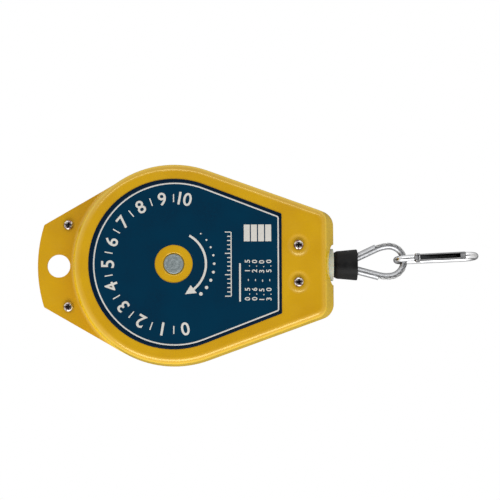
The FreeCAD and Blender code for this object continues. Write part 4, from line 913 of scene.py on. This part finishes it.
def studio_camera(focal_length):
    """Looks at the front from 1.2 m, a little from the -X side, rolled so that the hook points right."""
    camera = bpy.data.cameras.new("camera")
    camera.lens = focal_length
    camera.sensor_width = 36.0
    camera.clip_end = 50.0
    holder = bpy.data.objects.new("camera", camera)
    bpy.context.scene.collection.objects.link(holder)
    leaning = Matrix.Rotation(CAMERA_LEAN.length, 3, CAMERA_LEAN.normalized())
    holder.matrix_world = Matrix.Translation(CAMERA_AT) @ (leaning @ HOOK_RIGHT).transposed().to_4x4()
    return holder


# ---- Operators ------------------------------------------------------------------------------------
class BALANCER_OT_stage(bpy.types.Operator):
    """Sets up the pale floor, the soft boxes, the even light and the camera"""
    bl_idname = "balancer.stage"
    bl_label = "Studio"

    def execute(self, context):
        scene = context.scene
        stage = scene.balancer_stage
        scene.view_settings.view_transform = "Standard"
        scene.world = studio_world(stage)
        studio_floor(stage)
        soft_box("soft_box_low", Vector((-1.06, -0.75, 0.05)), stage.low_lamp, (0.6, 1.6))
        soft_box("soft_box_high", Vector((0.73, -1.08, 0.05)), stage.high_lamp, (0.14, 1.6))
        scene.camera = studio_camera(stage.focal_length)
        return {"FINISHED"}


class BALANCER_OT_housing(bpy.types.Operator):
    """Enamels both shells"""
    bl_idname = "balancer.housing"
    bl_label = "Housing"

    def execute(self, context):
        dress(("front_shell", "rear_shell"), yellow_stove_enamel(context.scene.balancer_finish))
        return {"FINISHED"}


class BALANCER_OT_plate(bpy.types.Operator):
    """Prints the plate: margin, border line, scale, turning arrow and range blocks"""
    bl_idname = "balancer.plate"
    bl_label = "Rating plate"

    def execute(self, context):
        marks = context.scene.balancer_print
        ground = plate_ink("plate_ink_blue", tuple(marks.ground), colour("#04283F"))
        margin = plate_ink("plate_ink_navy", tuple(marks.margin), colour("#031E33"))
        ink = plate_ink("plate_ink_white", tuple(marks.ink), colour("#CBC7BF"))
        dress(("label_plate",), ground)
        lift = marks.lift
        # The marks stand in the plate by a fifth of their height; the margin is half as thick.
        above = ON_PLATE @ Matrix.Translation((0, 0, lift * 0.3))

        line = nodes_mesh(
            polygon_curve("border", plate_outline(marks.line_inset, corner_r=1.6 * MM)), ribbon_tree(),
            {"Width": marks.line_width, "Height": lift, "Ink": ink})
        dropped = above @ Matrix.Translation((0, -marks.print_drop, 0))
        inside = marks.margin_width / 2 + 0.05 * MM
        edge = nodes_mesh(
            polygon_curve("margin", plate_outline(inside, corner_r=0.6 * MM)), ribbon_tree(),
            {"Width": marks.margin_width, "Height": lift * 0.5, "Ink": margin})

        step = marks.sweep / (marks.numerals - 1)
        ticks = nodes_mesh(bpy.data.meshes.new("scale"), tick_tree(), {
            "Last": marks.numerals - 2, "Start Angle": (marks.sweep - step) / 2,
            "End Angle": (step - marks.sweep) / 2, "Radius": marks.scale_radius,
            "Length": marks.tick_length, "Width": marks.tick_width, "Height": lift, "Ink": ink})

        on_scale = Matrix.Translation((0, marks.scale_radius, 0))
        numerals = [(
            numeral_mesh(str(i), marks.numeral_height, lift, spacing=0.9, weight=0.014),
            Matrix.Rotation(marks.sweep / 2 - step * i, 4, "Z") @ on_scale) for i in range(marks.numerals)]
        numerals += [(
            numeral_mesh(text, RANGE_HEIGHT * MM, lift, spacing=1.6, weight=0.016),
            Matrix.Translation((RANGE_X * MM, (RANGE_Y - ROW_PITCH * row) * MM, 0)))
            for row, text in enumerate(RANGES)]

        pieces = [
            mesh_piece("plate_border", line, dropped), mesh_piece("plate_margin", edge, above),
            mesh_piece("plate_scale", ticks, above), joined("plate_numerals", numerals, above),
            joined("plate_forms", [(form, Matrix.Identity(4)) for form in small_forms(marks)], above)]
        for piece in pieces:
            if not piece.data.materials:
                piece.data.materials.append(ink)
            finish_piece(piece, "housing")
        return {"FINISHED"}


class BALANCER_OT_fixings(bpy.types.Operator):
    """Zinc plates the screws, nuts and rivets"""
    bl_idname = "balancer.fixings"
    bl_label = "Screws, nuts and rivets"

    def execute(self, context):
        names = [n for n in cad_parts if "_screw" in n or "_nut" in n]
        dress(names + ["pawl_rivets"], bright_zinc(context.scene.balancer_finish))
        return {"FINISHED"}


class BALANCER_OT_shaft(bpy.types.Operator):
    """Finishes the shaft, and the tempered steel of the ratchet, the clip, the pawl and the springs"""
    bl_idname = "balancer.shaft"
    bl_label = "Shaft and ratchet"

    def execute(self, context):
        dress(("main_shaft",), turned_steel(context.scene.balancer_finish))
        dress(("ratchet_wheel", "retaining_clip", "leaf_pawl", "gate_spring", "mainspring"), tempered_steel())
        return {"FINISHED"}


class BALANCER_OT_drum(bpy.types.Operator):
    """Finishes the drum, its cover and its bushes"""
    bl_idname = "balancer.drum"
    bl_label = "Rope drum"

    def execute(self, context):
        dress(("drum", "spring_cover"), die_cast_aluminium())
        dress(("front_drum_bush", "rear_drum_bush"), sintered_bronze())
        return {"FINISHED"}


class BALANCER_OT_rope(bpy.types.Operator):
    """Lays the eye's wire rope, and makes the rope that runs out of the guide"""
    bl_idname = "balancer.rope"
    bl_label = "Wire rope"

    def execute(self, context):
        rope = context.scene.balancer_rope
        wire = galvanised_wire(rope)
        set_over = (Matrix.Translation((0, 0, EYE_TOP_Z)) @ Matrix.Rotation(EYE_SET, 4, "Y")
                    @ Matrix.Rotation(math.pi / 2, 4, "X"))
        eye = mesh_piece("laid_eye_rope", rope_mesh(eye_curve(), rope, wire), set_over)
        finish_piece(eye, "eye")
        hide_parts("eye_rope")

        low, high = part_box("rope_drop")
        straight = laid_rope_surface("straight_wire_rope", rope, straight_position)
        heights = [low.z + (high.z - low.z) * i / DROP_RINGS for i in range(DROP_RINGS + 1)]
        profile = [(0, low.z)] + [(rope.radius, z) for z in heights] + [(0, high.z)]
        drop = lathe("running_rope", profile, DROP_SIDES)
        drop.data.materials.append(straight)
        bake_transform(drop)
        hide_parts("rope_drop")

        wound = laid_rope_surface("wound_wire_rope", rope, wound_position)
        dress(("rope_winding", "rope_lead"), wound)
        return {"FINISHED"}


class BALANCER_OT_load_end(bpy.types.Operator):
    """Finishes the rope guide, the bumper, the ferrule, the stop on the rope and the thimble"""
    bl_idname = "balancer.load_end"
    bl_label = "Guide, bumper and eye"

    def execute(self, context):
        finish = context.scene.balancer_finish
        dress(("rope_guide",), moulded_acetal(finish))
        dress(("bumper",), black_rubber(finish))
        dress(("crimp_ferrule", "rope_anchor"), pressed_aluminium())
        dress(("thimble",), rolled_steel())
        return {"FINISHED"}


class BALANCER_OT_hook(bpy.types.Operator):
    """Nickel plates the snap hook, its gate and its rivet"""
    bl_idname = "balancer.hook"
    bl_label = "Snap hook"

    def execute(self, context):
        finish = context.scene.balancer_finish
        dress(("hook_body",), nickel_plate("nickel_plate", finish, 3.5))
        dress(("hook_gate",), nickel_plate("nickel_plate_gate", finish, 5.0))
        dress(("gate_rivet",), nickel_plate("nickel_plate_rivet", finish, 0.4))
        return {"FINISHED"}


STEPS = (
    BALANCER_OT_stage, BALANCER_OT_housing, BALANCER_OT_plate, BALANCER_OT_fixings, BALANCER_OT_shaft,
    BALANCER_OT_drum, BALANCER_OT_rope, BALANCER_OT_load_end, BALANCER_OT_hook)
SETTINGS = {
    "balancer_finish": BalancerFinish, "balancer_print": BalancerPrint,
    "balancer_rope": BalancerRope, "balancer_stage": BalancerStage}


class BALANCER_PT_panel(bpy.types.Panel):
    """Steps and settings of the balancer"""
    bl_idname = "BALANCER_PT_panel"
    bl_label = "Spring balancer"
    bl_space_type = "VIEW_3D"
    bl_region_type = "UI"
    bl_category = "Balancer"

    def draw(self, context):
        for step in STEPS:
            self.layout.operator(step.bl_idname)
        for name, group in SETTINGS.items():
            box = self.layout.box()
            for prop in group.__annotations__:
                box.prop(getattr(context.scene, name), prop)


def register():
    for group in (*SETTINGS.values(), *STEPS, BALANCER_PT_panel):
        bpy.utils.register_class(group)
    for name, group in SETTINGS.items():
        setattr(bpy.types.Scene, name, bpy.props.PointerProperty(type=group))


def unregister():
    for name in SETTINGS:
        delattr(bpy.types.Scene, name)
    for group in (BALANCER_PT_panel, *reversed(STEPS), *SETTINGS.values()):
        bpy.utils.unregister_class(group)


def main():
    register()
    for step in STEPS:
        area, name = step.bl_idname.split(".")
        getattr(getattr(bpy.ops, area), name)()


if __name__ == "__main__":
    main()
